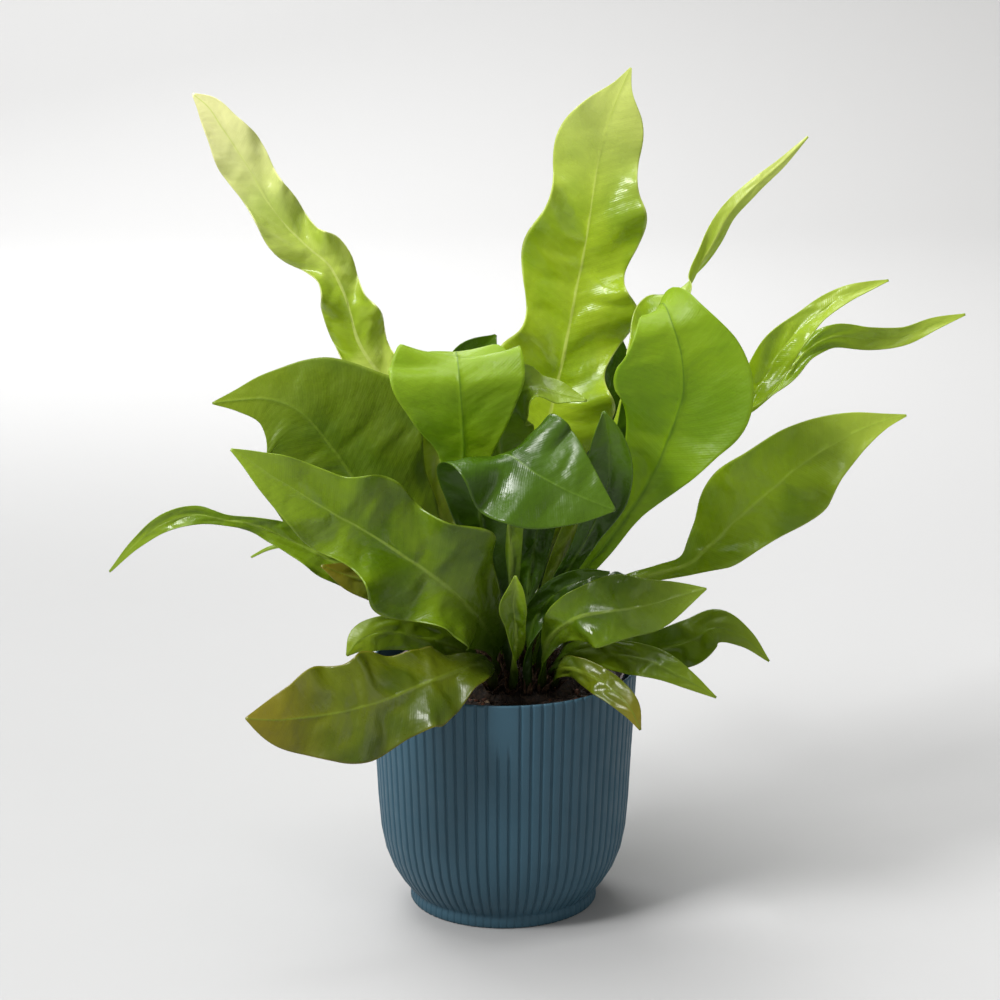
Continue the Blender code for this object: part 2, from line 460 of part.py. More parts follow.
def frond_rib(frond):
    """Rows along the frond, evenly spaced: x, y, z, half width, roll."""
    radius, height = RINGS[frond.ring]
    turn = radians(frond.azimuth)
    foot = (CROWN_CENTRE[0] + radius * cos(turn), CROWN_CENTRE[1] + radius * sin(turn), height,
            STALK_HALF_WIDTH, 0.0)
    control = (foot,) + frond.rib
    fine = np.linspace(0.0, 1.0, CURVE_SAMPLES)
    curve = smooth_curve(control, fine)
    steps = np.linalg.norm(np.diff(curve[:, :3], axis=0), axis=1)
    travelled = np.concatenate([[0.0], np.cumsum(steps)])
    length = travelled[-1]
    count = int(max(length / FROND_STEP, STEPS_PER_WAVE * frond.waves[0], LEAST_STEPS)) + 1
    shares = np.interp(np.linspace(0.0, length, count + 1), travelled, fine)
    return smooth_curve(control, shares), length


def frond_surface(frond):
    """Mid-surface grid of a frond: rows along the rib by columns from margin to margin."""
    rows, length = frond_rib(frond)
    u = np.linspace(0.0, 1.0, len(rows))
    rib = rows[:, :3]
    half = np.maximum(rows[:, 3], LEAST_HALF_WIDTH)
    roll = np.radians(rows[:, 4])[:, None]
    turn = radians(frond.azimuth)
    along = unit(np.gradient(rib, u * length, axis=0))
    level = np.array([-sin(turn), cos(turn), 0.0])
    side = unit(level - (along @ level)[:, None] * along)
    up = np.cross(along, side)
    side, up = side * np.cos(roll) + up * np.sin(roll), up * np.cos(roll) - side * np.sin(roll)
    fold = np.radians(np.interp(u, np.linspace(0, 1, len(frond.fold)), frond.fold))
    curl = np.radians(np.interp(u, np.linspace(0, 1, len(frond.curl)), frond.curl))
    count, wave_height, left_phase, right_phase = frond.waves
    swell = np.sin(pi * u ** 0.8) ** 0.7 * np.minimum(half / half.max() * 1.3, 1.0)
    grid = []
    for across in np.linspace(-1.0, 1.0, 2 * STEPS_ACROSS + 1):
        reach = abs(across)
        phase = right_phase if across > 0 else left_phase
        rise = fold + curl * reach / 2
        chord = half * reach * np.sinc(curl * reach / 2 / pi)
        drift = WAVE_DRIFT * np.sin(9 * u + 6 * phase)
        turns = 2 * pi * (count * (u + drift - WAVE_SLANT * reach) + phase)
        ripple = wave_height * swell * reach ** 1.2
        out = chord * np.cos(rise) * (1 + ripple * np.cos(turns) / WAVE_SCALLOP)
        lift = chord * np.sin(rise) + ripple * np.sin(turns)
        sway = WAVE_SWAY * ripple * np.cos(turns)
        out = out * (1 if across > 0 else -1)
        grid.append(rib + side * out[:, None] + up * lift[:, None] + along * sway[:, None])
    return np.stack(grid, axis=1)


def closed_slab(surface, thickness):
    """Thickens a grid of points to both sides and closes its edges.

    Both sides are cut along the same diagonals, so that thin walls never cross.
    """
    rows, columns = surface.shape[:2]
    normal = unit(np.cross(np.gradient(surface, axis=0), np.gradient(surface, axis=1)))
    shift = normal * thickness[:, None, None] / 2
    points = np.concatenate([(surface + shift).reshape(-1, 3), (surface - shift).reshape(-1, 3)])
    below = rows * columns
    faces = []
    for i in range(rows - 1):
        for j in range(columns - 1):
            a = i * columns + j
            b = a + columns
            for corners in ((a, b, b + 1), (a, b + 1, a + 1)):
                faces.append(corners)
                faces.append(tuple(below + corner for corner in reversed(corners)))
    last = (rows - 1) * columns
    edge = list(range(columns))
    edge += [i * columns + columns - 1 for i in range(1, rows)]
    edge += [last + j for j in range(columns - 2, -1, -1)]
    edge += [i * columns for i in range(rows - 2, 0, -1)]
    for a, b in zip(edge, edge[1:] + edge[:1]):
        faces.append((a, b, below + b, below + a))
    return points, faces


def build_frond(frond):
    surface = frond_surface(frond)
    u = np.linspace(0.0, 1.0, len(surface))
    thickness = np.interp(u, (0.0, 0.25, 0.9, 1.0),
                          (STALK_THICKNESS, BLADE_THICKNESS * 1.2, BLADE_THICKNESS, TIP_THICKNESS))
    points, faces = closed_slab(surface, thickness)
    colour, roughness = LEAF_FINISH.get(frond.name, MID_LEAF)
    leaf = material("leaf_" + frond.name, colour, roughness)
    return add_object("frond_" + frond.name, points, faces, leaf)


def main():
    clear_scene()
    build_cover_pot()
    build_nursery_pot()
    build_soil()
    build_crown()
    for frond in FRONDS:
        build_frond(frond)


main()
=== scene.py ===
"""Looks of the bird's nest fern: crisped leathery fronds, scaly crown, potting mix, nursery pot
and ribbed cover pot, on a pale studio floor.

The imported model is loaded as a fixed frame. Lengths below are in millimetres unless a name says
otherwise; MM turns them into Blender's metres when a mesh is made.
"""
import bpy
import numpy as np
from math import cos, hypot, pi, radians, sin, sqrt
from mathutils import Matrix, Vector, noise
from typing import NamedTuple


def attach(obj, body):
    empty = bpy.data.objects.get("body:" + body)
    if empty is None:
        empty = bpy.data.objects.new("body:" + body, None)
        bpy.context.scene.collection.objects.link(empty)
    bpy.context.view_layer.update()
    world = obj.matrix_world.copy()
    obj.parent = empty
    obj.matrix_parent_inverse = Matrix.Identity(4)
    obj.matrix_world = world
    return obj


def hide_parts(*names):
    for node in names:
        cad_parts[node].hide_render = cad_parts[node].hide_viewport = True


MM = 0.001
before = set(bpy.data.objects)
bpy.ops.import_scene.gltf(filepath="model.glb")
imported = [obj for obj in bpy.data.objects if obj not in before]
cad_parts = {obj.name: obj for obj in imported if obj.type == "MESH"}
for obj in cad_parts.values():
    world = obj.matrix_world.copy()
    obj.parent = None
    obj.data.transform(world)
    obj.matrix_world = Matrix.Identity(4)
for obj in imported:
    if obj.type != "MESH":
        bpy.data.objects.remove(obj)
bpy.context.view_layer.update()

# Crown and rings of frond bases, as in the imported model
CROWN_CENTRE = (8.0, 0.0)
CROWN_RADIUS = 31.0
CROWN_BASE_Z = 112.0
CROWN_PROFILE = ((31.0, 112.0), (31.0, 118.0), (29.6, 120.4), (27.0, 122.4), (20.0, 126.5),
                 (13.0, 129.5), (6.0, 131.5), (0.0, 132.2))
RINGS = ((6.0, 133.0), (13.0, 131.0), (20.0, 128.0), (27.0, 124.0))

# Potting mix
NURSERY_CENTRE = (2.0, 1.0)
SOIL_LEVEL = 117.0
SOIL_REACH = 57.4             # inner radius of the nursery pot at the soil's surface
SOIL_SIDE = ((57.0, 112.0), (52.6, 60.0), (43.0, 8.4), (39.8, 5.4))    # hidden side of the mix
SOIL_RINGS = 46
SOIL_SEGMENTS = 200
CROWN_RINGS = 30
CROWN_SEGMENTS = 120
CHIP_COUNT = 420
CHIP_SHARES = (0.62, 0.28, 0.10)          # dark, reddish and pale chips
FIBRE_COUNT = 70
FIBRE_STEPS = 10
FIBRE_SIDES = 5
FIBRE_FARTHEST = 62.0         # from the crown's axis

# Fronds
STALK_HALF_WIDTH = 2.2
STALK_THICKNESS = 2.0
BLADE_THICKNESS = 0.8
MARGIN_THICKNESS = 0.4
TIP_THICKNESS = 0.5
ALONG_STEP = 1.7              # mesh step along a frond
ACROSS = (0.0, 0.02, 0.045, 0.08, 0.13, 0.2, 0.29, 0.39, 0.5, 0.61, 0.71, 0.8, 0.88, 0.945, 1.0)
RIB_RISE_UPPER = 0.5          # height of the midrib above the blade
RIB_RISE_UNDER = 0.9
WAVE_DRIFT = 0.02             # unevenness of the waves along a frond, as a share of its length
WAVE_SLANT = 0.05             # how far a wave leans towards the tip on its way to the margin
WAVE_SCALLOP = 40.0           # wave height that would double the width
WAVE_SWAY = 0.35              # shift along the frond, as a share of the wave height
CRISP_SHARE = 0.34            # fine crisping of the margin, as a share of the wave height
QUILT_HEIGHT = 0.95           # broad corrugation that follows the lateral veins
QUILT_PITCH = 24.0
SCALES_PER_STALK = 9
SCALE_SHAPE = ((0.0, 0.7), (0.25, 1.0), (0.55, 0.75), (0.8, 0.4), (1.0, 0.05))  # share, width
SCALE_THICKNESS = 0.25
VEIN_LEAN = 0.55              # how far a lateral vein runs towards the tip on its way out
VEIN_PITCH = 0.125            # in centimetres, as in the "length" layer of coordinates
BROAD_VEIN_PITCH = 0.41
BUMP_HEIGHT = 0.00025         # metres
CURVE_SAMPLES = 201           # fineness with which a frond's length is measured
LEAST_HALF_WIDTH = 0.15

# Cover pot
GROOVES = 75
GROOVE_DEPTH = 0.9
FOOT_GROOVE_DEPTH = 0.35
CREST_ROUNDING = 0.22
PANEL_LOW_Z = 104.0           # the plain front panel reaches from here to the rim
STEPS_PER_GROOVE = 16
POT_OUTER = ((47.6, 0.0), (48.6, 0.3), (49.2, 1.2), (49.1, 4.6), (48.6, 6.2), (49.0, 7.2),
             (50.6, 8.8), (54.6, 14.0), (58.8, 21.0), (62.3, 30.0), (64.5, 41.0), (65.9, 58.0),
             (67.2, 84.0), (68.4, 104.0), (69.75, 128.4), (69.8, 129.2))
POT_INNER = ((68.35, 129.7), (68.2, 129.0), (65.3, 84.0), (62.5, 41.0), (60.0, 29.0),
             (54.0, 17.5), (48.6, 10.5), (45.8, 3.5), (0.0, 3.5))


class Frond(NamedTuple):
    """One frond. rib holds (x, y, z, half width, roll in degrees) from the stalk to the tip."""
    name: str
    ring: int                 # which ring of the crown the stalk stands on
    azimuth: float            # direction of the stalk's outer side, degrees from +X
    fold: tuple               # degrees that each half lifts at the rib, base to tip
    curl: tuple               # further degrees gained from the rib to the margin, base to tip
    waves: tuple              # margin waves: count, height, phase of each side in turns
    rib: tuple


FRONDS = (
    Frond("tall_centre", ring=0, azimuth=95, fold=(10, 4), curl=(10, 0), waves=(5.5, 8, 0.1, 0.55), rib=(
        (12, 18, 177, 10, -5), (19, 28, 226, 21, -5), (26, 38, 261, 28, -5), (32, 44, 287, 29, -5),
        (38, 50, 318, 29, -5), (43, 55, 343, 27, -5), (47, 60, 369, 25, -5), (51, 64, 392, 22, -5),
        (57, 67, 410, 15, -5), (62, 69, 422, 5, -10), (66, 70, 431, 0.5, -10))),
    Frond("tall_left", ring=0, azimuth=208, fold=(8, 5), curl=(20, 10), waves=(8.0, 8, 0.0, 0.45), rib=(
        (-12, 12, 160, 3, -130), (-28, 18, 191, 6, -120), (-41, 22, 227, 11, -110),
        (-50, 25, 249, 16, -110), (-61, 28, 272, 17, -105), (-75, 30, 295, 15, -110),
        (-81, 33, 315, 12, -110), (-89, 35, 333, 12, -105), (-105, 37, 347, 13, -100),
        (-120, 38, 365, 12, -105), (-132, 40, 386, 13, -105), (-144, 40, 405, 10, -105),
        (-152, 40, 417, 6, -100), (-159, 40, 423, 0.5, -100))),
    Frond("twisted_right", ring=0, azimuth=350, fold=(10, 10), curl=(10, 10), waves=(4.0, 4, 0.0, 0.3), rib=(
        (27, 8, 178, 5, 95), (55, 16, 235, 8, 70), (76, 24, 281, 11, 65), (83, 36, 308, 16, 60),
        (92, 44, 316, 12, 30), (97, 50, 321, 7, 0), (102, 53, 330, 6, -40), (110, 56, 343, 6, -60),
        (117, 58, 356, 5, -70), (129, 60, 369, 4, -85), (145, 62, 383, 2.5, -85),
        (158, 64, 396, 0.5, -85))),
    Frond("back_left", ring=0, azimuth=145, fold=(10, 10), curl=(20, 20), waves=(3, 3, 0.0, 0.4), rib=(
        (-9, 32, 176, 5, -50), (-11, 44, 202, 12, -55), (-12, 52, 230, 19, -55),
        (-15, 56, 259, 19, -55), (-13, 58, 279, 14, -60), (-4, 60, 291, 0.5, -70))),
    Frond("back_right", ring=1, azimuth=54, fold=(10, 10), curl=(20, 20), waves=(3, 3, 0.0, 0.4), rib=(
        (27, 24, 176, 8, 35), (44, 46, 216, 17, 35), (52, 60, 243, 20, 35), (58, 68, 269, 14, 35),
        (62, 72, 287, 0.5, 35))),
    Frond("inner_tip", ring=0, azimuth=290, fold=(10, 10), curl=(20, 20), waves=(1.5, 1, 0.0, 0.4), rib=(
        (15, -4, 187, 8, 155), (21, -12, 226, 11, 150), (29, -17, 245, 9, 105), (38, -20, 245, 5, 40),
        (47, -22, 242, 0.5, 20))),
    Frond("right_upper", ring=1, azimuth=353, fold=(15, 15), curl=(20, 10), waves=(4.0, 4, 0.0, 0.5), rib=(
        (37, 4, 176, 3.5, 55), (66, 10, 215, 5, 45), (97, 14, 249, 7, 40), (120, 17, 261, 8, 50),
        (133, 19, 275, 10, 65), (143, 21, 292, 10, 65), (158, 23, 308, 8, 60), (176, 24, 321, 5, 60),
        (189, 24, 326, 2.5, 60), (198, 24, 329, 0.5, 60))),
    Frond("right_lower", ring=1, azimuth=30, fold=(10, 10), curl=(20, 10), waves=(3.5, 4, 0.2, 0.5), rib=(
        (41, 16, 170, 3.5, 25), (77, 28, 215, 5, 15), (113, 34, 252, 6, 30), (136, 37, 266, 7, 35),
        (149, 38, 277, 6, 45), (158, 39, 288, 6, 45), (171, 40, 295, 6, 65), (189, 40, 294, 6, 75),
        (207, 40, 295, 5, 65), (224, 40, 302, 3.5, 65), (240, 40, 307, 0.5, 65))),
    Frond("far_right", ring=2, azimuth=5, fold=(0, 5), curl=(0, 10), waves=(3.0, 5, 0.0, 0.4), rib=(
        (43, 4, 160, 3, 45), (63, 6, 172, 3.5, 50), (81, 6, 177, 4, 60), (96, 5, 182, 6, 70),
        (108, 4, 193, 15, 70), (121, 3, 207, 22, 70), (137, 2, 222, 24, 70), (154, 2, 237, 23, 70),
        (169, 2, 247, 17, 70), (183, 2, 255, 10, 70), (196, 2, 260, 4, 70), (207, 2, 263, 0.5, 75))),
    Frond("broad_right", ring=1, azimuth=303, fold=(0, 0), curl=(-10, -30), waves=(2.5, 5, 0.0, 0.3), rib=(
        (30, -16, 170, 4, -50), (51, -24, 200, 5, -55), (66, -29, 223, 7, -50),
        (76, -33, 242, 16, -45), (84, -37, 264, 26, -45), (90, -39, 285, 34, -40),
        (89, -39, 306, 31, -35), (84, -35, 322, 19, -35), (81, -26, 328, 12, -40),
        (79, -16, 326, 0.5, -60))),
    Frond("inner_right", ring=1, azimuth=328, fold=(10, 10), curl=(20, 20), waves=(1.5, 1, 0.0, 0.4), rib=(
        (35, -8, 176, 5, 110), (55, -16, 211, 9, 110), (64, -22, 241, 13, 115),
        (66, -24, 262, 10, 120), (64, -24, 278, 5, 125), (62, -24, 288, 0.5, 125))),
    Frond("yellow_left", ring=1, azimuth=218, fold=(0, 0), curl=(0, -20), waves=(2.5, 3, 0.0, 0.4), rib=(
        (-6, -9, 172, 4, 55), (-14, -22, 209, 5, 55), (-21, -34, 239, 8, 55), (-20, -40, 259, 16, 50),
        (-21, -44, 279, 27, 55), (-22, -43, 294, 34, 50), (-23, -34, 301, 33, 20),
        (-24, -22, 301, 22, -10), (-24, -12, 300, 0.5, -10))),
    Frond("arching_tip", ring=1, azimuth=243, fold=(0, 0), curl=(0, -20), waves=(2.0, 2, 0.0, 0.3), rib=(
        (4, -18, 191, 5, 30), (0, -20, 235, 12, 30), (-2, -24, 265, 18, 25), (2, -28, 280, 18, 0),
        (13, -32, 286, 13, 15), (28, -34, 284, 7, 65), (42, -36, 281, 0.5, 65))),
    Frond("olive_left", ring=1, azimuth=175, fold=(0, 0), curl=(10, 0), waves=(2.5, 4, 0.0, 0.4), rib=(
        (-17, 3, 153, 4, 105), (-38, 5, 176, 11, 105), (-58, 4, 203, 29, 105), (-77, 2, 229, 43, 105),
        (-92, 1, 251, 45, 105), (-105, 0, 266, 32, 105), (-121, 0, 272, 15, 105),
        (-136, -2, 272, 6, 105), (-149, -4, 271, 0.5, 105))),
    Frond("curled_front", ring=2, azimuth=262, fold=(0, 0), curl=(0, 0), waves=(1.5, 2, 0.0, 0.4), rib=(
        (-3, -26, 178, 6, 10), (-9, -39, 206, 10, 10), (-12, -51, 233, 17, 5), (-9, -63, 255, 25, 15),
        (2, -77, 264, 30, 20), (17, -88, 257, 30, 0), (38, -95, 248, 16, -15),
        (55, -98, 242, 0.5, -25))),
    Frond("young_right", ring=2, azimuth=300, fold=(15, 15), curl=(30, 30), waves=(1.5, 2, 0.0, 0.4), rib=(
        (27, -26, 178, 5, 140), (43, -38, 211, 7, 135), (52, -45, 237, 13, 145),
        (53, -48, 256, 13, 150), (52, -49, 269, 8, 150), (50, -49, 279, 0.5, 150))),
    Frond("broad_left", ring=2, azimuth=232, fold=(15, 12), curl=(20, 20), waves=(3.5, 7, 0.0, 0.4), rib=(
        (-6, -31, 152, 8, -100), (-16, -45, 172, 22, -90), (-31, -53, 190, 31, -95),
        (-51, -57, 206, 31, -100), (-71, -58, 220, 27, -100), (-89, -60, 231, 22, -95),
        (-105, -61, 242, 16, -100), (-120, -62, 252, 10, -100), (-128, -62, 258, 5, -100),
        (-136, -62, 263, 0.5, -100))),
    Frond("long_left", ring=2, azimuth=178, fold=(12, 12), curl=(10, 10), waves=(4.0, 3, 0.0, 0.4), rib=(
        (-33, -2, 157, 4, -45), (-56, -8, 170, 7, -50), (-82, -14, 186, 10, -60),
        (-99, -17, 196, 10, -60), (-115, -19, 205, 7, -60), (-128, -20, 211, 4, -70),
        (-142, -22, 214, 3, -70), (-157, -23, 217, 5, -75), (-171, -24, 214, 5, -75),
        (-187, -24, 203, 3, -80), (-202, -24, 187, 0.5, -85))),
    Frond("thread_left", ring=2, azimuth=158, fold=(10, 10), curl=(10, 10), waves=(2.0, 1, 0.0, 0.4), rib=(
        (-33, 14, 157, 5, -30), (-65, 20, 173, 7, -45), (-91, 26, 182, 4, -45),
        (-112, 30, 185, 1.5, -75), (-124, 32, 182, 1, -85), (-133, 33, 177, 0.5, -90))),
    Frond("dark_left", ring=2, azimuth=198, fold=(5, 5), curl=(10, 10), waves=(2.0, 2, 0.0, 0.4), rib=(
        (-27, -12, 153, 4, -60), (-46, -22, 169, 8, -65), (-64, -28, 181, 10, -60),
        (-81, -33, 188, 7, -60), (-93, -36, 194, 0.5, -60))),
    Frond("short_left", ring=2, azimuth=215, fold=(0, 0), curl=(0, -20), waves=(2.0, 2, 0.0, 0.4), rib=(
        (-23, -26, 146, 5, -100), (-44, -36, 156, 8, -80), (-61, -41, 160, 9, -70),
        (-73, -44, 157, 7, -55), (-80, -46, 149, 0.5, -55))),
    Frond("low_left", ring=3, azimuth=240, fold=(5, 0), curl=(0, -10), waves=(4.0, 4, 0.0, 0.4), rib=(
        (-8, -42, 144, 6, -35), (-21, -60, 146, 15, -20), (-40, -76, 144, 22, -35),
        (-59, -88, 140, 25, -50), (-79, -97, 137, 25, -60), (-98, -103, 136, 21, -70),
        (-113, -107, 136, 13, -75), (-122, -109, 137, 6, -80), (-128, -110, 138, 0.5, -80))),
    Frond("young_front", ring=3, azimuth=262, fold=(15, 15), curl=(30, 30), waves=(1.0, 0.5, 0.0, 0.4), rib=(
        (6, -46, 166, 6, -170), (5, -50, 179, 8, -175), (6, -52, 187, 5, -175),
        (6, -53, 194, 0.5, -175))),
    Frond("inner_front", ring=3, azimuth=279, fold=(10, 10), curl=(20, 20), waves=(1.5, 1, 0.0, 0.4), rib=(
        (18, -27, 166, 7, 150), (29, -34, 180, 8, 130), (43, -39, 188, 6, 120),
        (54, -41, 192, 0.5, 120))),
    Frond("pale_right", ring=3, azimuth=295, fold=(0, 0), curl=(0, 0), waves=(2.5, 4, 0.0, 0.4), rib=(
        (25, -42, 159, 7, 125), (39, -52, 172, 15, 100), (55, -58, 177, 17, 95),
        (71, -62, 181, 14, 95), (86, -64, 186, 9, 100), (102, -65, 191, 0.5, 100))),
    Frond("low_right", ring=3, azimuth=312, fold=(0, 0), curl=(-10, -10), waves=(2.0, 2, 0.0, 0.4), rib=(
        (30, -38, 140, 5, 85), (44, -56, 142, 7, 60), (55, -68, 138, 7, 50), (64, -76, 131, 5, 45),
        (69, -80, 121, 0.5, 40))),
    Frond("right_point", ring=2, azimuth=318, fold=(0, 0), curl=(-10, -10), waves=(2.0, 2, 0.0, 0.4), rib=(
        (34, -28, 144, 5, 90), (57, -42, 148, 8, 70), (77, -52, 147, 8, 60), (92, -58, 141, 5, 55),
        (108, -62, 132, 0.5, 55))),
    Frond("yellow_droop", ring=2, azimuth=336, fold=(5, 5), curl=(-10, -10), waves=(2.0, 3, 0.0, 0.4), rib=(
        (40, -14, 143, 6, 80), (60, -24, 145, 8, 70), (79, -30, 147, 10, 75), (96, -34, 153, 12, 80),
        (110, -36, 161, 9, 75), (123, -38, 156, 5, 65), (136, -40, 144, 0.5, 65))),
    Frond("rear_a", ring=1, azimuth=84, fold=(10, 10), curl=(20, 0), waves=(4, 4, 0, 0.4), rib=(
        (36, 46, 172, 8, 0), (58, 80, 205, 20, 0), (76, 116, 220, 20, 0), (92, 148, 212, 0.5, 0))),
    Frond("rear_b", ring=1, azimuth=109, fold=(10, 10), curl=(20, 0), waves=(4, 4, 0, 0.4), rib=(
        (8, 48, 178, 10, 0), (4, 94, 220, 20, 0), (0, 138, 238, 20, 0), (-2, 174, 230, 0.5, 0))),
    Frond("rear_c", ring=1, azimuth=135, fold=(10, 10), curl=(20, 0), waves=(4, 4, 0, 0.4), rib=(
        (-20, 42, 168, 10, 0), (-50, 74, 192, 20, 0), (-78, 102, 200, 16, 0), (-98, 120, 192, 0.5, 0))),
    Frond("rear_d", ring=2, azimuth=72, fold=(10, 10), curl=(0, -20), waves=(3, 3, 0, 0.4), rib=(
        (24, 50, 146, 10, 0), (32, 84, 160, 18, 0), (40, 114, 158, 14, 0), (44, 138, 148, 0.5, 0))),
    Frond("rear_e", ring=2, azimuth=45, fold=(10, 10), curl=(0, -20), waves=(3, 3, 0, 0.4), rib=(
        (42, 36, 142, 10, 0), (66, 56, 152, 16, 0), (86, 72, 150, 12, 0), (98, 82, 140, 0.5, 0))),
    Frond("rear_f", ring=2, azimuth=126, fold=(10, 10), curl=(0, -20), waves=(3, 3, 0, 0.4), rib=(
        (-18, 36, 144, 10, 0), (-40, 58, 154, 15, 0), (-58, 74, 152, 10, 0), (-70, 84, 144, 0.5, 0))),)


class Leaf(NamedTuple):
    """Colours of a frond, linear RGB: blade, its deeper patches, midrib, tip; and its light."""
    blade: tuple
    deep: tuple
    rib: tuple
    tip: tuple
    glow: tuple               # colour of light that passes through
    through: float            # share of light that passes through
    gloss: float              # roughness of the blade


# The palettes are one leaf green at several brightnesses, set frond by frond: partly the fronds' own tone,
# partly painted light and shade. The brightest ones are partly painted light on the lit upper fronds. The
# olive one is partly painted shade. The backlit one's midrib is painted dim where it blocks the light
# shining through.
BRIGHT = Leaf((0.33, 0.45, 0.020), (0.21, 0.33, 0.006), (0.50, 0.58, 0.12), (0.58, 0.64, 0.18),
              (0.72, 0.85, 0.03), 0.30, 0.24)
PALE = Leaf((0.46, 0.56, 0.10), (0.28, 0.40, 0.02), (0.58, 0.65, 0.20), (0.80, 0.78, 0.42),
            (0.80, 0.88, 0.15), 0.30, 0.23)
BACKLIT = Leaf((0.20, 0.32, 0.003), (0.15, 0.26, 0.002), (0.09, 0.17, 0.003),
               (0.27, 0.40, 0.01), (0.58, 0.88, 0.01), 0.40, 0.34)
GREEN = Leaf((0.15, 0.235, 0.006), (0.080, 0.145, 0.003), (0.24, 0.34, 0.04), (0.23, 0.33, 0.02),
             (0.42, 0.66, 0.01), 0.24, 0.25)
FRESH = Leaf((0.25, 0.37, 0.010), (0.15, 0.25, 0.004), (0.34, 0.46, 0.05), (0.40, 0.50, 0.06),
             (0.60, 0.80, 0.02), 0.28, 0.25)
OLIVE = Leaf((0.125, 0.19, 0.002), (0.080, 0.14, 0.002), (0.16, 0.24, 0.015), (0.22, 0.30, 0.01),
             (0.42, 0.62, 0.01), 0.30, 0.32)
# Painted shade: this palette paints the shade that falls on the inner, rear and curled front fronds.
SHADE_PAINTED = Leaf((0.045, 0.105, 0.002), (0.028, 0.070, 0.001), (0.09, 0.17, 0.01),
            (0.07, 0.14, 0.004), (0.16, 0.42, 0.01), 0.20, 0.27)
AGED = Leaf((0.11, 0.140, 0.005), (0.06, 0.095, 0.003), (0.15, 0.20, 0.015), (0.20, 0.17, 0.01),
            (0.36, 0.44, 0.01), 0.22, 0.28)
LEAF_OF = {
    "tall_centre": BRIGHT, "tall_left": PALE, "twisted_right": BRIGHT, "yellow_left": BACKLIT,
    "broad_right": BACKLIT, "arching_tip": GREEN, "right_upper": FRESH, "right_lower": FRESH,
    "olive_left": OLIVE, "curled_front": SHADE_PAINTED, "young_right": SHADE_PAINTED, "inner_right": SHADE_PAINTED,
    "dark_left": AGED, "low_left": AGED, "low_right": AGED, "short_left": OLIVE,
    "yellow_droop": OLIVE, "right_point": OLIVE, "pale_right": GREEN, "far_right": FRESH,
    "back_left": SHADE_PAINTED, "back_right": SHADE_PAINTED, "inner_front": SHADE_PAINTED, "inner_tip": SHADE_PAINTED,
    "rear_d": SHADE_PAINTED, "rear_e": SHADE_PAINTED, "rear_f": SHADE_PAINTED,
}


# ---------------------------------------------------------------- material helpers

class Graph:
    """Short calls for building one material's node tree."""

    def __init__(self, name):
        self.material = bpy.data.materials.new(name)
        self.material.use_nodes = True
        self.tree = self.material.node_tree
        self.shader = self.tree.nodes["Principled BSDF"]
        self.output = self.tree.nodes["Material Output"]

    def link(self, source, target):
        self.tree.links.new(source, target)

    def set(self, socket, value):
        if isinstance(value, bpy.types.NodeSocket):
            self.link(value, socket)
        elif isinstance(value, tuple) and len(value) == 3 and socket.type == "RGBA":
            socket.default_value = (*value, 1.0)
        else:
            socket.default_value = value

    def math(self, operation, a, b=0.0):
        node = self.tree.nodes.new("ShaderNodeMath")
        node.operation = operation
        self.set(node.inputs[0], a)
        self.set(node.inputs[1], b)
        return node.outputs[0]

    def ramp(self, value, low, high, out_low=0.0, out_high=1.0):
        node = self.tree.nodes.new("ShaderNodeMapRange")
        node.interpolation_type = "SMOOTHSTEP"
        for key, number in zip(range(5), (value, low, high, out_low, out_high)):
            self.set(node.inputs[key], number)
        return node.outputs[0]

    def mix(self, share, a, b, blend="MIX"):
        node = self.tree.nodes.new("ShaderNodeMix")
        node.data_type = "RGBA"
        node.blend_type = blend
        self.set(node.inputs["Factor"], share)
        self.set(node.inputs[6], a)
        self.set(node.inputs[7], b)
        return node.outputs[2]

    def noise(self, vector, scale, detail=3.0, roughness=0.55, distortion=0.0):
        node = self.tree.nodes.new("ShaderNodeTexNoise")
        self.link(vector, node.inputs["Vector"])
        node.inputs["Scale"].default_value = scale
        node.inputs["Detail"].default_value = detail
        node.inputs["Roughness"].default_value = roughness
        node.inputs["Distortion"].default_value = distortion
        return node.outputs["Fac"]

    def voronoi(self, vector, scale):
        node = self.tree.nodes.new("ShaderNodeTexVoronoi")
        self.link(vector, node.inputs["Vector"])
        node.inputs["Scale"].default_value = scale
        return node.outputs["Distance"]

    def position(self):
        return self.tree.nodes.new("ShaderNodeTexCoord").outputs["Object"]

    def uv(self, layer):
        node = self.tree.nodes.new("ShaderNodeUVMap")
        node.uv_map = layer
        split = self.tree.nodes.new("ShaderNodeSeparateXYZ")
        self.link(node.outputs["UV"], split.inputs[0])
        return split.outputs["X"], split.outputs["Y"]

    def bump(self, height, strength, distance):
        node = self.tree.nodes.new("ShaderNodeBump")
        node.inputs["Strength"].default_value = strength
        node.inputs["Distance"].default_value = distance
        self.link(height, node.inputs["Height"])
        self.link(node.outputs["Normal"], self.shader.inputs["Normal"])
        return node.outputs["Normal"]

    def finish(self, colour, roughness, specular=0.5):
        self.set(self.shader.inputs["Base Color"], colour)
        self.set(self.shader.inputs["Roughness"], roughness)
        self.shader.inputs["Specular IOR Level"].default_value = specular
        return self.material


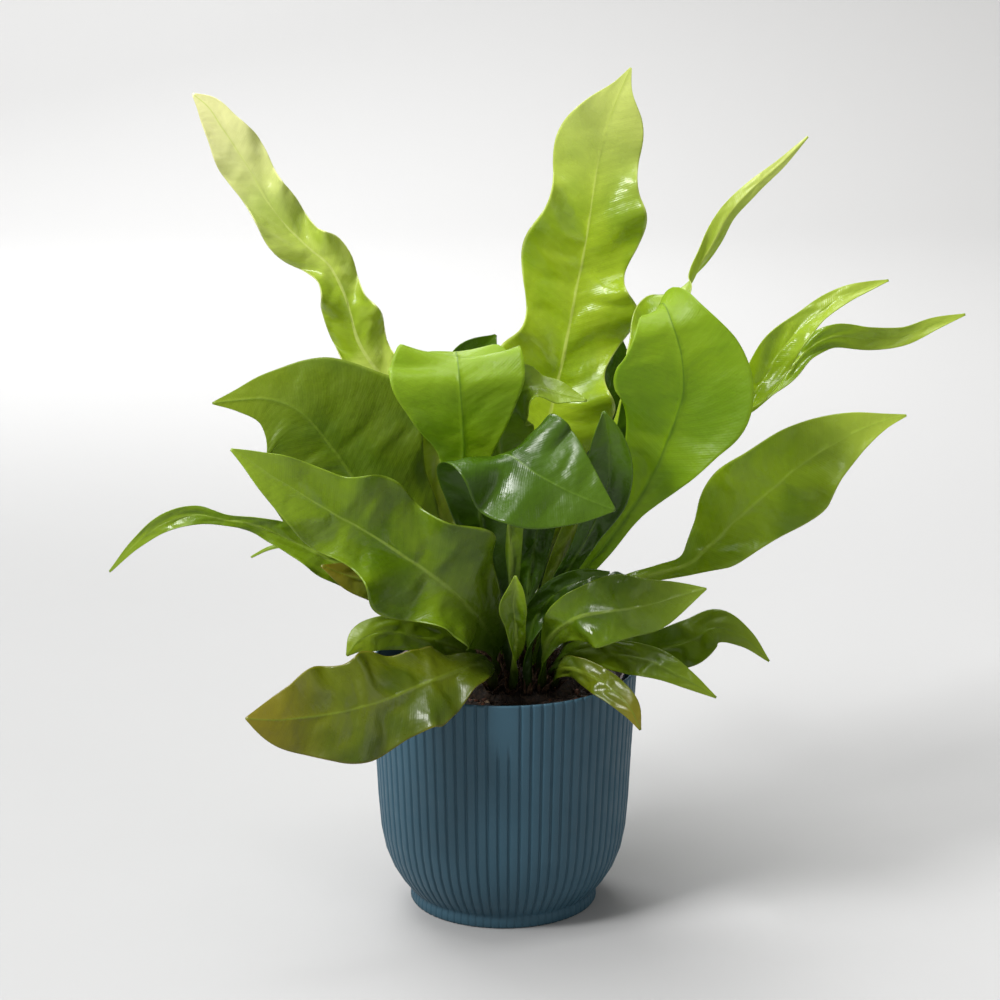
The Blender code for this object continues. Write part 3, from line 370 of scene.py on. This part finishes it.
def leaf_material(name, leaf, upper):
    """Blade with a midrib, oblique lateral veins, mottling, a paler margin that is partly painted highlight,
    painted shade towards the stalk, and light passing through.
    """
    g = Graph(name)
    share_u, share_v = g.uv("share")
    length_u, length_v = g.uv("length")
    across = g.math("ABSOLUTE", g.math("SUBTRACT", share_v, 0.5))
    from_rib = g.math("ABSOLUTE", length_v)
    place = g.position()
    wander = g.noise(place, 60.0, 2.0)
    slant = g.math("SUBTRACT", length_u, g.math("MULTIPLY", from_rib, VEIN_LEAN))
    slant = g.math("ADD", slant, g.math("MULTIPLY", wander, 0.10))
    veins = g.math("SINE", g.math("MULTIPLY", slant, 2 * pi / VEIN_PITCH))
    broad_veins = g.math("SINE", g.math("MULTIPLY", slant, 2 * pi / BROAD_VEIN_PITCH))
    patches = g.ramp(g.noise(place, 28.0, 4.0), 0.38, 0.66)
    fine_patches = g.noise(place, 260.0, 3.0)
    colour = g.mix(patches, leaf.blade, leaf.deep)
    shade = g.math("ADD", 0.93, g.math("MULTIPLY", veins, 0.018))
    shade = g.math("ADD", shade, g.math("MULTIPLY", broad_veins, 0.02))
    shade = g.math("ADD", shade, g.math("MULTIPLY", fine_patches, 0.12))
    colour = g.mix(1.0, colour, shade, "MULTIPLY")
    colour = g.mix(g.ramp(share_u, 0.70, 1.0), colour, leaf.tip)
    # Paler band along the margin: partly the thin margin's own tone, partly a painted highlight along the
    # edge.
    colour = g.mix(g.ramp(across, 0.478, 0.497, 0.0, 0.55), colour, leaf.tip)
    rib_edge = g.ramp(share_u, 0.0, 1.0, 0.20, 0.045)
    beyond_rib = g.ramp(from_rib, g.math("MULTIPLY", rib_edge, 0.45), rib_edge)
    rib_mask = g.math("SUBTRACT", 1.0, beyond_rib)
    colour = g.mix(g.math("MULTIPLY", rib_mask, 0.75), colour, leaf.rib)
    # Painted shade: towards the stalk the blade turns a deep shaded green, standing in for the shade inside
    # the crown.
    colour = g.mix(g.ramp(share_u, 0.40, 0.12, 0.0, 0.90), colour, (0.016, 0.038, 0.002))
    colour = g.mix(g.ramp(share_u, 0.08, 0.01, 0.0, 0.8), colour, (0.020, 0.014, 0.005))
    gloss = leaf.gloss if upper else leaf.gloss + 0.12
    rough = g.ramp(g.noise(place, 75.0, 4.0), 0.3, 0.75, gloss - 0.05, gloss + 0.14)
    height = g.math("ADD", g.math("MULTIPLY", veins, 0.07), g.math("MULTIPLY", broad_veins, 0.12))
    height = g.math("ADD", height, g.math("MULTIPLY", g.noise(place, 85.0, 3.0), 5.0))
    normal = g.bump(height, 0.6 if upper else 0.8, BUMP_HEIGHT)
    g.finish(colour, rough, 0.4)
    light = g.tree.nodes.new("ShaderNodeBsdfTranslucent")
    lit = g.mix(0.65, colour, leaf.glow)
    g.link(lit, light.inputs["Color"])
    g.link(normal, light.inputs["Normal"])
    blend = g.tree.nodes.new("ShaderNodeMixShader")
    blend.inputs["Fac"].default_value = leaf.through
    g.link(g.shader.outputs[0], blend.inputs[1])
    g.link(light.outputs[0], blend.inputs[2])
    g.link(blend.outputs[0], g.output.inputs["Surface"])
    return g.material


def plastic_material(name, colour, scuff, roughness, grain):
    """Moulded plastic: fine grain, faint cloudy tone and scuffs."""
    g = Graph(name)
    place = g.position()
    cloud = g.noise(place, 14.0, 4.0)
    base = g.mix(g.ramp(cloud, 0.35, 0.7), colour, tuple(1.14 * part for part in colour))
    marks = g.ramp(g.noise(place, 190.0, 5.0, 0.7, 0.6), 0.66, 0.78, 0.0, 0.35)
    base = g.mix(marks, base, scuff)
    rough = g.ramp(g.noise(place, 90.0, 4.0), 0.3, 0.7, roughness - 0.05, roughness + 0.08)
    g.bump(g.noise(place, grain, 2.0), 0.25, 0.00012)
    return g.finish(base, rough, 0.32)


def crumb_material(name, dark, light):
    """Rough organic matter with dark and light flecks."""
    g = Graph(name)
    place = g.position()
    fleck = g.ramp(g.noise(place, 420.0, 5.0, 0.7), 0.40, 0.68)
    colour = g.mix(fleck, dark, light)
    colour = g.mix(g.ramp(g.noise(place, 60.0, 3.0), 0.45, 0.7, 0.0, 0.5), colour, dark)
    grain = g.math("ADD", g.noise(place, 900.0, 4.0, 0.7), g.voronoi(place, 350.0))
    g.bump(grain, 0.8, 0.0005)
    rough = g.ramp(g.noise(place, 200.0), 0.3, 0.7, 0.72, 0.95)
    return g.finish(colour, rough, 0.3)


def backdrop_material():
    """Pale studio paper; the wall carries painted shade towards the upper right, and the floor is painted
    lighter towards the right, as painted light that evens out the key lamp's falloff.
    """
    g = Graph("studio_paper")
    place = g.position()
    split = g.tree.nodes.new("ShaderNodeSeparateXYZ")
    g.link(place, split.inputs[0])
    rightward = g.ramp(split.outputs["X"], -0.35, 0.75)
    upward = g.ramp(split.outputs["Z"], 0.05, 0.85)
    # Painted shade: the wall's colour dims towards the upper right, where the key lamp reaches less.
    painted_shade = g.math("MULTIPLY", rightward, g.math("ADD", 0.25, g.math("MULTIPLY", upward, 0.75)))
    back = g.ramp(split.outputs["Y"], 0.5, 1.9)
    # Painted light: the floor's colour is lighter towards the right, evening out the key lamp's falloff.
    floor = g.mix(g.ramp(split.outputs["X"], -0.4, 0.5), (0.345, 0.345, 0.345), (0.47, 0.47, 0.47))
    left = g.mix(back, floor, (0.80, 0.80, 0.80))
    right = g.mix(back, floor, (0.25, 0.245, 0.235))
    colour = g.mix(painted_shade, left, right)
    g.bump(g.noise(place, 500.0, 2.0), 0.05, 0.0002)
    rough = g.ramp(g.noise(place, 8.0), 0.3, 0.7, 0.85, 0.95)
    return g.finish(colour, rough, 0.2)


# ---------------------------------------------------------------- mesh helpers

def add_mesh(name, points, faces, materials, slots=None, uvs=None):
    """Makes a smooth-shaded object from points in millimetres."""
    mesh = bpy.data.meshes.new(name)
    mesh.from_pydata((np.asarray(points, float) * MM).tolist(), [], faces)
    for finish in materials:
        mesh.materials.append(finish)
    if slots is not None:
        mesh.polygons.foreach_set("material_index", np.asarray(slots, np.int32))
    corners = np.zeros(len(mesh.loops), np.int32)
    mesh.loops.foreach_get("vertex_index", corners)
    for layer, values in (uvs or {}).items():
        made = mesh.uv_layers.new(name=layer)
        made.data.foreach_set("uv", np.asarray(values, np.float32)[corners].ravel())
    mesh.shade_smooth()
    thing = bpy.data.objects.new(name, mesh)
    bpy.context.scene.collection.objects.link(thing)
    return thing


def piece(thing, node=None):
    """Puts a finished piece on the part's one body."""
    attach(thing, "root")
    if node:
        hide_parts(node)
    return thing


def unit(vectors):
    return vectors / np.maximum(np.linalg.norm(vectors, axis=-1, keepdims=True), 1e-9)


def smooth_curve(points, shares):
    """Catmull-Rom curve through rows whose first three columns are x, y, z."""
    rows = np.asarray(points, float)
    chords = np.linalg.norm(np.diff(rows[:, :3], axis=0), axis=1)
    knots = np.concatenate([[0.0], np.cumsum(chords)])
    knots /= knots[-1]
    slopes = np.gradient(rows, knots, axis=0)
    span = np.clip(np.searchsorted(knots, shares, side="right") - 1, 0, len(rows) - 2)
    width = (knots[span + 1] - knots[span])[:, None]
    s = (shares - knots[span])[:, None] / width
    start = (2 * s ** 3 - 3 * s ** 2 + 1) * rows[span]
    start_slope = (s ** 3 - 2 * s ** 2 + s) * slopes[span] * width
    end = (3 * s ** 2 - 2 * s ** 3) * rows[span + 1]
    end_slope = (s ** 3 - s ** 2) * slopes[span + 1] * width
    return start + start_slope + end + end_slope


def ring_wall(lower, upper, count):
    around = range(count)
    return [(lower + k, lower + (k + 1) % count, upper + (k + 1) % count, upper + k) for k in around]


# ---------------------------------------------------------------- fronds

def frond_rib(frond):
    """Rows along the frond, evenly spaced: x, y, z, half width, roll."""
    radius, height = RINGS[frond.ring]
    turn = radians(frond.azimuth)
    foot = (CROWN_CENTRE[0] + radius * cos(turn), CROWN_CENTRE[1] + radius * sin(turn), height,
            STALK_HALF_WIDTH, 0.0)
    control = (foot,) + frond.rib
    fine = np.linspace(0.0, 1.0, CURVE_SAMPLES)
    curve = smooth_curve(control, fine)
    steps = np.linalg.norm(np.diff(curve[:, :3], axis=0), axis=1)
    travelled = np.concatenate([[0.0], np.cumsum(steps)])
    length = travelled[-1]
    count = int(length / ALONG_STEP) + 1
    shares = np.interp(np.linspace(0.0, length, count + 1), travelled, fine)
    return smooth_curve(control, shares), length


def frond_surface(frond):
    """Mid-surface grid from margin to margin, with each column's signed reach from the rib."""
    rows, length = frond_rib(frond)
    u = np.linspace(0.0, 1.0, len(rows))
    rib = rows[:, :3]
    half = np.maximum(rows[:, 3], LEAST_HALF_WIDTH)
    roll = np.radians(rows[:, 4])[:, None]
    turn = radians(frond.azimuth)
    along = unit(np.gradient(rib, u * length, axis=0))
    level = np.array([-sin(turn), cos(turn), 0.0])
    side = unit(level - (along @ level)[:, None] * along)
    up = np.cross(along, side)
    side, up = side * np.cos(roll) + up * np.sin(roll), up * np.cos(roll) - side * np.sin(roll)
    fold = np.radians(np.interp(u, np.linspace(0, 1, len(frond.fold)), frond.fold))
    curl = np.radians(np.interp(u, np.linspace(0, 1, len(frond.curl)), frond.curl))
    count, wave_height, left_phase, right_phase = frond.waves
    swell = np.sin(pi * u ** 0.8) ** 0.7 * np.minimum(half / half.max() * 1.3, 1.0)
    grid = []
    reaches = [-r for r in reversed(ACROSS[1:])] + list(ACROSS)
    for across in reaches:
        reach = abs(across)
        phase = right_phase if across > 0 else left_phase
        rise = fold + curl * reach / 2
        chord = half * reach * np.sinc(curl * reach / 2 / pi)
        drift = WAVE_DRIFT * np.sin(9 * u + 6 * phase)
        turns = 2 * pi * (count * (u + drift - WAVE_SLANT * reach) + phase)
        ripple = wave_height * swell * reach ** 1.2
        crisp = CRISP_SHARE * wave_height * swell * reach ** 3 * np.sin(2.7 * turns + 1.3)
        slant = u * length - 0.5 * half * reach
        stray = 1.7 * np.sin(11 * u + 9 * phase) + 1.1 * np.sin(27 * u + 4 * reach)
        beat = 2 * pi * slant / QUILT_PITCH + stray
        quilt = np.sin(beat + phase) + 0.35 * np.sin(2.3 * beat + 2 * phase)
        quilt = QUILT_HEIGHT * swell * quilt * sin(pi * min(reach * 1.15, 1.0)) ** 0.6
        out = chord * np.cos(rise) * (1 + ripple * np.cos(turns) / WAVE_SCALLOP)
        lift = chord * np.sin(rise) + ripple * np.sin(turns) + crisp + quilt
        sway = WAVE_SWAY * ripple * np.cos(turns)
        out = out * (1 if across > 0 else -1)
        grid.append(rib + side * out[:, None] + up * lift[:, None] + along * sway[:, None])
    return np.stack(grid, axis=1), np.array(reaches), half, length


def build_frond(frond, finishes):
    surface, reaches, half, length = frond_surface(frond)
    rows, columns = surface.shape[:2]
    u = np.linspace(0.0, 1.0, rows)
    normal = unit(np.cross(np.gradient(surface, axis=0), np.gradient(surface, axis=1)))
    body = np.interp(u, (0.0, 0.25, 0.9, 1.0),
                     (STALK_THICKNESS, BLADE_THICKNESS * 1.2, BLADE_THICKNESS, TIP_THICKNESS))
    margin = np.interp(u, (0.0, 0.2, 1.0), (STALK_THICKNESS * 0.6, MARGIN_THICKNESS, MARGIN_THICKNESS))
    share = np.abs(reaches)[None, :] ** 2
    thick = body[:, None] * (1 - share) + margin[:, None] * share
    offset = half[:, None] * reaches[None, :]
    rib_width = np.interp(u, (0.0, 1.0), (1.9, 0.7))[:, None]
    ridge = np.exp(-(offset / rib_width) ** 2) * np.interp(u, (0.0, 0.15, 1.0), (0.3, 1.0, 0.3))[:, None]
    upper = surface + normal * (thick / 2 + RIB_RISE_UPPER * ridge)[:, :, None]
    under = surface - normal * (thick / 2 + RIB_RISE_UNDER * ridge)[:, :, None]
    points = np.concatenate([upper.reshape(-1, 3), under.reshape(-1, 3)])
    below = rows * columns
    faces = []
    slots = []
    for i in range(rows - 1):
        for j in range(columns - 1):
            a = i * columns + j
            b = a + columns
            faces.append((a, b, b + 1, a + 1))
            faces.append((below + a + 1, below + b + 1, below + b, below + a))
            slots += [0, 1]
    last = (rows - 1) * columns
    edge = list(range(columns))
    edge += [i * columns + columns - 1 for i in range(1, rows)]
    edge += [last + j for j in range(columns - 2, -1, -1)]
    edge += [i * columns for i in range(rows - 2, 0, -1)]
    for a, b in zip(edge, edge[1:] + edge[:1]):
        faces.append((a, b, below + b, below + a))
        slots.append(0)
    share_uv = np.stack(np.broadcast_arrays(u[:, None], (reaches[None, :] + 1) / 2), axis=-1)
    length_uv = np.stack(np.broadcast_arrays(u[:, None] * length / 10, offset / 10), axis=-1)
    layers = {"share": np.tile(share_uv.reshape(-1, 2), (2, 1)),
              "length": np.tile(length_uv.reshape(-1, 2), (2, 1))}
    made = add_mesh("fern_" + frond.name, points, faces, finishes, slots, layers)
    node = "frond_" + frond.name
    return piece(made, node)


def build_fronds():
    looks = {}
    for frond in FRONDS:
        leaf = LEAF_OF.get(frond.name, GREEN)
        if leaf not in looks:
            label = f"leaf_{len(looks)}"
            looks[leaf] = (leaf_material(label + "_upper", leaf, True),
                           leaf_material(label + "_under", leaf, False))
        build_frond(frond, looks[leaf])


# ---------------------------------------------------------------- cover pot

def smoothstep(low, high, value):
    t = np.clip((value - low) / (high - low), 0.0, 1.0)
    return t * t * (3 - 2 * t)


def fill_profile(profile, step):
    """Adds points along a profile's straight stretches so that none is longer than step."""
    filled = [profile[0]]
    for (r0, z0), (r1, z1) in zip(profile, profile[1:]):
        parts = max(1, int(hypot(r1 - r0, z1 - z0) / step))
        filled += [(r0 + (r1 - r0) * k / parts, z0 + (z1 - z0) * k / parts) for k in range(1, parts + 1)]
    return filled


def build_cover_pot():
    """Narrow rounded grooves between broad ribs, a smooth foot ring and a plain front panel."""
    count = GROOVES * STEPS_PER_GROOVE
    turns = 2 * pi * np.arange(count) / count - pi / 2
    beat = GROOVES * (turns + pi / 2) / (2 * pi)
    off_crest = np.abs(beat - np.round(beat))            # 0 on a crest, 0.5 in a groove
    groove = smoothstep(0.30, 0.45, off_crest)
    crown = CREST_ROUNDING * (2 * off_crest) ** 2
    from_front = np.minimum(beat, GROOVES - beat)
    beside_panel = from_front < 1.0
    points = []
    faces = []
    outer = fill_profile(POT_OUTER, 4.0)
    for radius, z in outer:
        depth = FOOT_GROOVE_DEPTH + (GROOVE_DEPTH - FOOT_GROOVE_DEPTH) * smoothstep(6.5, 10.0, z)
        cut = depth * groove + crown * smoothstep(2.0, 10.0, z)
        plain = smoothstep(PANEL_LOW_Z - 1.2, PANEL_LOW_Z + 1.2, z)
        cut = np.where(beside_panel, cut * (1 - plain), cut)
        r = radius - cut
        points += list(zip(r * np.cos(turns), r * np.sin(turns), np.full(count, z)))
    inner = fill_profile(POT_INNER[:-1], 8.0)
    lip_cut = (GROOVE_DEPTH * groove + crown) * np.where(beside_panel, 0.0, 1.0)
    for inset, z in ((0.35, 129.8), (0.9, 129.95)):
        r = POT_OUTER[-1][0] - inset - lip_cut * (1 - inset)
        points += list(zip(r * np.cos(turns), r * np.sin(turns), np.full(count, z)))
    for radius, z in inner:
        points += list(zip(radius * np.cos(turns), radius * np.sin(turns), np.full(count, z)))
    rings = len(outer) + 2 + len(inner)
    for ring in range(1, rings):
        faces += ring_wall((ring - 1) * count, ring * count, count)
    top = len(points)
    points += [(0.0, 0.0, POT_INNER[-1][1]), (0.0, 0.0, 0.0)]
    start = (rings - 1) * count
    faces += [(start + k, start + (k + 1) % count, top) for k in range(count)]
    faces += [((k + 1) % count, k, top + 1) for k in range(count)]
    blue = plastic_material("blue_grey_plastic", (0.029, 0.078, 0.112), (0.06, 0.11, 0.14), 0.50, 1400.0)
    piece(add_mesh("ribbed_cover_pot", points, faces, [blue]), "cover_pot")


def finish_nursery_pot():
    """The thin nursery pot keeps its own shape, with softened edges and a moulded finish."""
    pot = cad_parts["nursery_pot"]
    taupe = plastic_material("taupe_plastic", (0.16, 0.125, 0.135), (0.32, 0.28, 0.28), 0.42, 900.0)
    for slot in pot.material_slots:
        slot.material = taupe
    soften = pot.modifiers.new("softened edges", "BEVEL")
    soften.width = 0.0003
    soften.segments = 2
    soften.limit_method = "ANGLE"


# ---------------------------------------------------------------- potting mix and crown

def grain(x, y, size, seed):
    return noise.noise(Vector((x / size, y / size, seed)))


def soil_height(x, y):
    rough = 2.4 * grain(x, y, 17.0, 1.0) + 1.5 * grain(x, y, 6.0, 5.0) + 0.9 * grain(x, y, 2.4, 9.0)
    return SOIL_LEVEL + rough


def build_soil():
    """Lumpy surface of the potting mix, closed underneath inside the nursery pot."""
    around = SOIL_SEGMENTS
    steps = SOIL_RINGS
    points = []
    faces = []
    for step in range(steps + 1):
        radius = SOIL_REACH * (step + 0.5) / (steps + 0.5)
        for k in range(around):
            turn = 2 * pi * k / around
            x = NURSERY_CENTRE[0] + radius * cos(turn)
            y = NURSERY_CENTRE[1] + radius * sin(turn)
            points.append((x, y, soil_height(x, y)))
    for radius, z in SOIL_SIDE:
        for k in range(around):
            turn = 2 * pi * k / around
            points.append((NURSERY_CENTRE[0] + radius * cos(turn),
                           NURSERY_CENTRE[1] + radius * sin(turn), z))
    rings = steps + 1 + len(SOIL_SIDE)
    for ring in range(1, rings):
        faces += ring_wall(ring * around, (ring - 1) * around, around)
    centre = len(points)
    points.append((*NURSERY_CENTRE, SOIL_LEVEL))
    points.append((*NURSERY_CENTRE, SOIL_SIDE[-1][1]))
    last = (rings - 1) * around
    faces += [(k, (k + 1) % around, centre) for k in range(around)]
    faces += [(last + (k + 1) % around, last + k, centre + 1) for k in range(around)]
    peat = crumb_material("moist_peat", (0.006, 0.0035, 0.0025), (0.030, 0.016, 0.009))
    piece(add_mesh("peat_surface", points, faces, [peat]), "potting_soil")


ICO = 1.618
ICO_POINTS = unit(np.array([(-1, ICO, 0), (1, ICO, 0), (-1, -ICO, 0), (1, -ICO, 0),
                            (0, -1, ICO), (0, 1, ICO), (0, -1, -ICO), (0, 1, -ICO),
                            (ICO, 0, -1), (ICO, 0, 1), (-ICO, 0, -1), (-ICO, 0, 1)], float))
ICO_FACES = ((0, 11, 5), (0, 5, 1), (0, 1, 7), (0, 7, 10), (0, 10, 11), (1, 5, 9), (5, 11, 4),
             (11, 10, 2), (10, 7, 6), (7, 1, 8), (3, 9, 4), (3, 4, 2), (3, 2, 6), (3, 6, 8),
             (3, 8, 9), (4, 9, 5), (2, 4, 11), (6, 2, 10), (8, 6, 7), (9, 8, 1))


def turn_matrix(yaw, pitch, roll):
    cy, sy, cp, sp, cr, sr = cos(yaw), sin(yaw), cos(pitch), sin(pitch), cos(roll), sin(roll)
    yawed = np.array([[cy, -sy, 0], [sy, cy, 0], [0, 0, 1]])
    pitched = np.array([[cp, 0, sp], [0, 1, 0], [-sp, 0, cp]])
    rolled = np.array([[1, 0, 0], [0, cr, -sr], [0, sr, cr]])
    return yawed @ pitched @ rolled


def build_chips():
    """Bark chips, peat crumbs and a few pale bits scattered over the mix."""
    pick = np.random.default_rng(7)
    points = []
    faces = []
    slots = []
    for _ in range(CHIP_COUNT):
        turn = pick.uniform(0, 2 * pi)
        radius = SOIL_REACH * sqrt(pick.uniform(0.0, 0.93))
        x = NURSERY_CENTRE[0] + radius * cos(turn)
        y = NURSERY_CENTRE[1] + radius * sin(turn)
        if hypot(x - CROWN_CENTRE[0], y - CROWN_CENTRE[1]) < CROWN_RADIUS - 2:
            continue
        size = pick.uniform(0.9, 3.4) * np.array([1.0, pick.uniform(0.4, 0.8), pick.uniform(0.25, 0.5)])
        spin = turn_matrix(pick.uniform(0, 2 * pi), pick.uniform(-0.5, 0.5), pick.uniform(-0.5, 0.5))
        lumps = ICO_POINTS * pick.uniform(0.75, 1.2, (12, 1))
        start = len(points)
        lift = soil_height(x, y) + 0.4 * size[2]
        points += list((lumps * size) @ spin.T + (x, y, lift))
        faces += [tuple(start + corner for corner in face) for face in ICO_FACES]
        slots += [int(pick.choice(3, p=CHIP_SHARES))] * len(ICO_FACES)
    finishes = [crumb_material("bark_dark", (0.010, 0.006, 0.004), (0.045, 0.024, 0.014)),
                crumb_material("bark_red", (0.045, 0.016, 0.008), (0.13, 0.050, 0.024)),
                crumb_material("bark_pale", (0.13, 0.085, 0.05), (0.30, 0.22, 0.14))]
    piece(add_mesh("bark_chips", points, faces, finishes, slots))


def crown_height(radius):
    radii = [r for r, _ in reversed(CROWN_PROFILE[1:])]
    heights = [z for _, z in reversed(CROWN_PROFILE[1:])]
    return float(np.interp(radius, radii, heights))


def build_crown():
    """Lumpy rhizome under the frond bases."""
    around = CROWN_SEGMENTS
    radii = [CROWN_RADIUS * k / CROWN_RINGS for k in range(1, CROWN_RINGS + 1)]
    points = []
    faces = []
    for radius in radii:
        for k in range(around):
            turn = 2 * pi * k / around
            x = CROWN_CENTRE[0] + radius * cos(turn)
            y = CROWN_CENTRE[1] + radius * sin(turn)
            lump = 1.0 * grain(x, y, 5.0, 3.0) + 0.5 * grain(x, y, 1.8, 7.0)
            points.append((x, y, crown_height(radius) + lump))
    points += [(CROWN_CENTRE[0] + CROWN_RADIUS * cos(2 * pi * k / around),
                CROWN_CENTRE[1] + CROWN_RADIUS * sin(2 * pi * k / around), CROWN_BASE_Z)
               for k in range(around)]
    for ring in range(1, len(radii) + 1):
        faces += ring_wall(ring * around, (ring - 1) * around, around)
    centre = len(points)
    points += [(*CROWN_CENTRE, crown_height(0.0)), (*CROWN_CENTRE, CROWN_BASE_Z)]
    last = len(radii) * around
    faces += [(k, (k + 1) % around, centre) for k in range(around)]
    faces += [(last + (k + 1) % around, last + k, centre + 1) for k in range(around)]
    felt = crumb_material("rhizome_felt", (0.008, 0.005, 0.003), (0.040, 0.022, 0.011))
    piece(add_mesh("scaly_rhizome", points, faces, [felt]), "rhizome_crown")


def build_scales():
    """Papery lance-shaped scales that sheathe the foot of every stalk."""
    pick = np.random.default_rng(11)
    points = []
    faces = []
    for frond in FRONDS:
        rows, _ = frond_rib(frond)
        foot = rows[0, :3]
        grow = unit(rows[6, :3] - foot)
        for k in range(SCALES_PER_STALK):
            turn = 2 * pi * (k + pick.uniform(-0.3, 0.3)) / SCALES_PER_STALK
            reach = pick.uniform(6.0, 13.0)
            width = pick.uniform(0.8, 1.5)
            out = np.array([cos(turn), sin(turn), 0.0])
            out = unit(out - (out @ grow) * grow)
            across = np.cross(grow, out)
            root = foot - grow * pick.uniform(1.0, 3.0) + out * pick.uniform(1.3, 3.0)
            flare = pick.uniform(0.10, 0.55)
            start = len(points)
            for share, wide in SCALE_SHAPE:
                middle = root + grow * reach * share + out * (0.4 + flare * reach * share ** 2)
                for side in (-1, 1):
                    points.append(middle + across * side * width * wide)
                for side in (-1, 1):
                    points.append(middle + across * side * width * wide + out * SCALE_THICKNESS)
            for i in range(len(SCALE_SHAPE) - 1):
                a = start + 4 * i
                b = a + 4
                faces += [(a, a + 1, b + 1, b), (a + 3, a + 2, b + 2, b + 3),
                          (a + 1, a + 3, b + 3, b + 1), (a + 2, a, b, b + 2)]
            end = start + 4 * (len(SCALE_SHAPE) - 1)
            faces += [(start, start + 2, start + 3, start + 1), (end, end + 1, end + 3, end + 2)]
    papery = crumb_material("papery_scales", (0.030, 0.015, 0.007), (0.12, 0.065, 0.028))
    piece(add_mesh("papery_scales", points, faces, [papery]))


def build_fibres():
    """Fine wiry roots that creep over the crown and the mix."""
    pick = np.random.default_rng(23)
    points = []
    faces = []
    sides = FIBRE_SIDES
    for _ in range(FIBRE_COUNT):
        turn = pick.uniform(0, 2 * pi)
        reach = pick.uniform(24.0, 34.0)
        bend = pick.uniform(-0.9, 0.9)
        length = pick.uniform(9.0, 22.0)
        thickness = pick.uniform(0.16, 0.34)
        start = len(points)
        steps = FIBRE_STEPS
        for i in range(steps + 1):
            share = i / steps
            angle = turn + bend * share * length / reach
            radius = min(reach + length * share * 0.8, FIBRE_FARTHEST)
            x = CROWN_CENTRE[0] + radius * cos(angle)
            y = CROWN_CENTRE[1] + radius * sin(angle)
            span = hypot(x - NURSERY_CENTRE[0], y - NURSERY_CENTRE[1])
            if span > SOIL_REACH - 1:
                x = NURSERY_CENTRE[0] + (x - NURSERY_CENTRE[0]) * (SOIL_REACH - 1) / span
                y = NURSERY_CENTRE[1] + (y - NURSERY_CENTRE[1]) * (SOIL_REACH - 1) / span
            base = crown_height(radius) if radius < CROWN_RADIUS else soil_height(x, y)
            z = base + 0.5 + 1.6 * sin(pi * share)
            across = np.array([-sin(angle), cos(angle), 0.0])
            for s in range(sides):
                spin = 2 * pi * s / sides
                tube = thickness * (1 - 0.7 * share)
                points.append(np.array([x, y, z]) + tube * (across * cos(spin) + (0, 0, sin(spin))))
        for i in range(steps):
            faces += ring_wall(start + i * sides, start + (i + 1) * sides, sides)
        faces.append(tuple(reversed(range(start, start + sides))))
        faces.append(tuple(range(start + steps * sides, start + (steps + 1) * sides)))
    wiry = crumb_material("wiry_roots", (0.014, 0.008, 0.005), (0.06, 0.034, 0.018))
    piece(add_mesh("wiry_roots", points, faces, [wiry]))


# ---------------------------------------------------------------- studio

def build_backdrop():
    """Floor that sweeps up behind the plant in one curve."""
    half_width = 4.0
    near = -3.0
    bend_at = 1.6
    bend_radius = 0.8
    top = 3.2
    line = [(near, 0.0), (bend_at, 0.0)]
    for k in range(1, 25):
        turn = pi / 2 * k / 24
        line.append((bend_at + bend_radius * sin(turn), bend_radius * (1 - cos(turn))))
    line.append((bend_at + bend_radius, top))
    points = []
    for y, z in line:
        for x in (-half_width, half_width):
            points.append((x / MM, y / MM, z / MM))
    faces = [(2 * k, 2 * k + 1, 2 * k + 3, 2 * k + 2) for k in range(len(line) - 1)]
    add_mesh("studio_sweep", points, faces, [backdrop_material()])


def add_light(name, place, aim, size, power, colour=(1.0, 1.0, 1.0)):
    lamp = bpy.data.lights.new(name, "AREA")
    lamp.shape = "RECTANGLE"
    lamp.size, lamp.size_y = size
    lamp.energy = power
    lamp.color = colour
    thing = bpy.data.objects.new(name, lamp)
    thing.location = place
    thing.rotation_euler = (Vector(aim) - Vector(place)).to_track_quat("-Z", "Y").to_euler()
    bpy.context.scene.collection.objects.link(thing)


def build_lights():
    aim = (0.0, 0.0, 0.22)
    add_light("key_left", (-1.05, -0.75, 1.45), aim, (0.6, 0.6), 40.0)
    add_light("overhead", (-0.2, 0.3, 1.9), aim, (1.2, 0.9), 22.0)
    add_light("fill_right", (1.6, -1.3, 0.9), aim, (1.2, 1.2), 5.0)
    add_light("wall_wash", (-0.9, 0.9, 2.9), (-0.5, 2.4, 1.1), (1.6, 1.2), 15.0)
    add_light("back_glow", (-0.5, 1.2, 1.1), (0.0, 0.0, 0.28), (0.9, 0.7), 14.0)
    world = bpy.data.worlds.new("studio_air")
    world.use_nodes = True
    world.node_tree.nodes["Background"].inputs["Color"].default_value = (1.0, 0.99, 0.97, 1.0)
    world.node_tree.nodes["Background"].inputs["Strength"].default_value = 0.34
    bpy.context.scene.world = world
    bpy.context.scene.view_settings.view_transform = "Standard"


def build_camera():
    """Long lens in front, looking down a little, level with the leaves."""
    pitch = radians(16.5)
    distance = 2.09
    ahead = Vector((0.0, cos(pitch), -sin(pitch)))
    above = Vector((0.0, sin(pitch), cos(pitch)))
    rim = Vector((0.0, 0.0, 0.130))
    camera = bpy.data.cameras.new("camera")
    camera.lens = 144.0
    camera.sensor_width = 36.0
    camera.clip_end = 50.0
    thing = bpy.data.objects.new("camera", camera)
    thing.location = rim - distance * ahead + 0.0846 * above - Vector((0.0018, 0.0, 0.0))
    thing.rotation_euler = (pi / 2 - pitch, 0.0, 0.0)
    bpy.context.scene.collection.objects.link(thing)
    bpy.context.scene.camera = thing


build_camera()
build_lights()
build_backdrop()
build_cover_pot()
finish_nursery_pot()
build_soil()
build_chips()
build_crown()
build_scales()
build_fibres()
build_fronds()
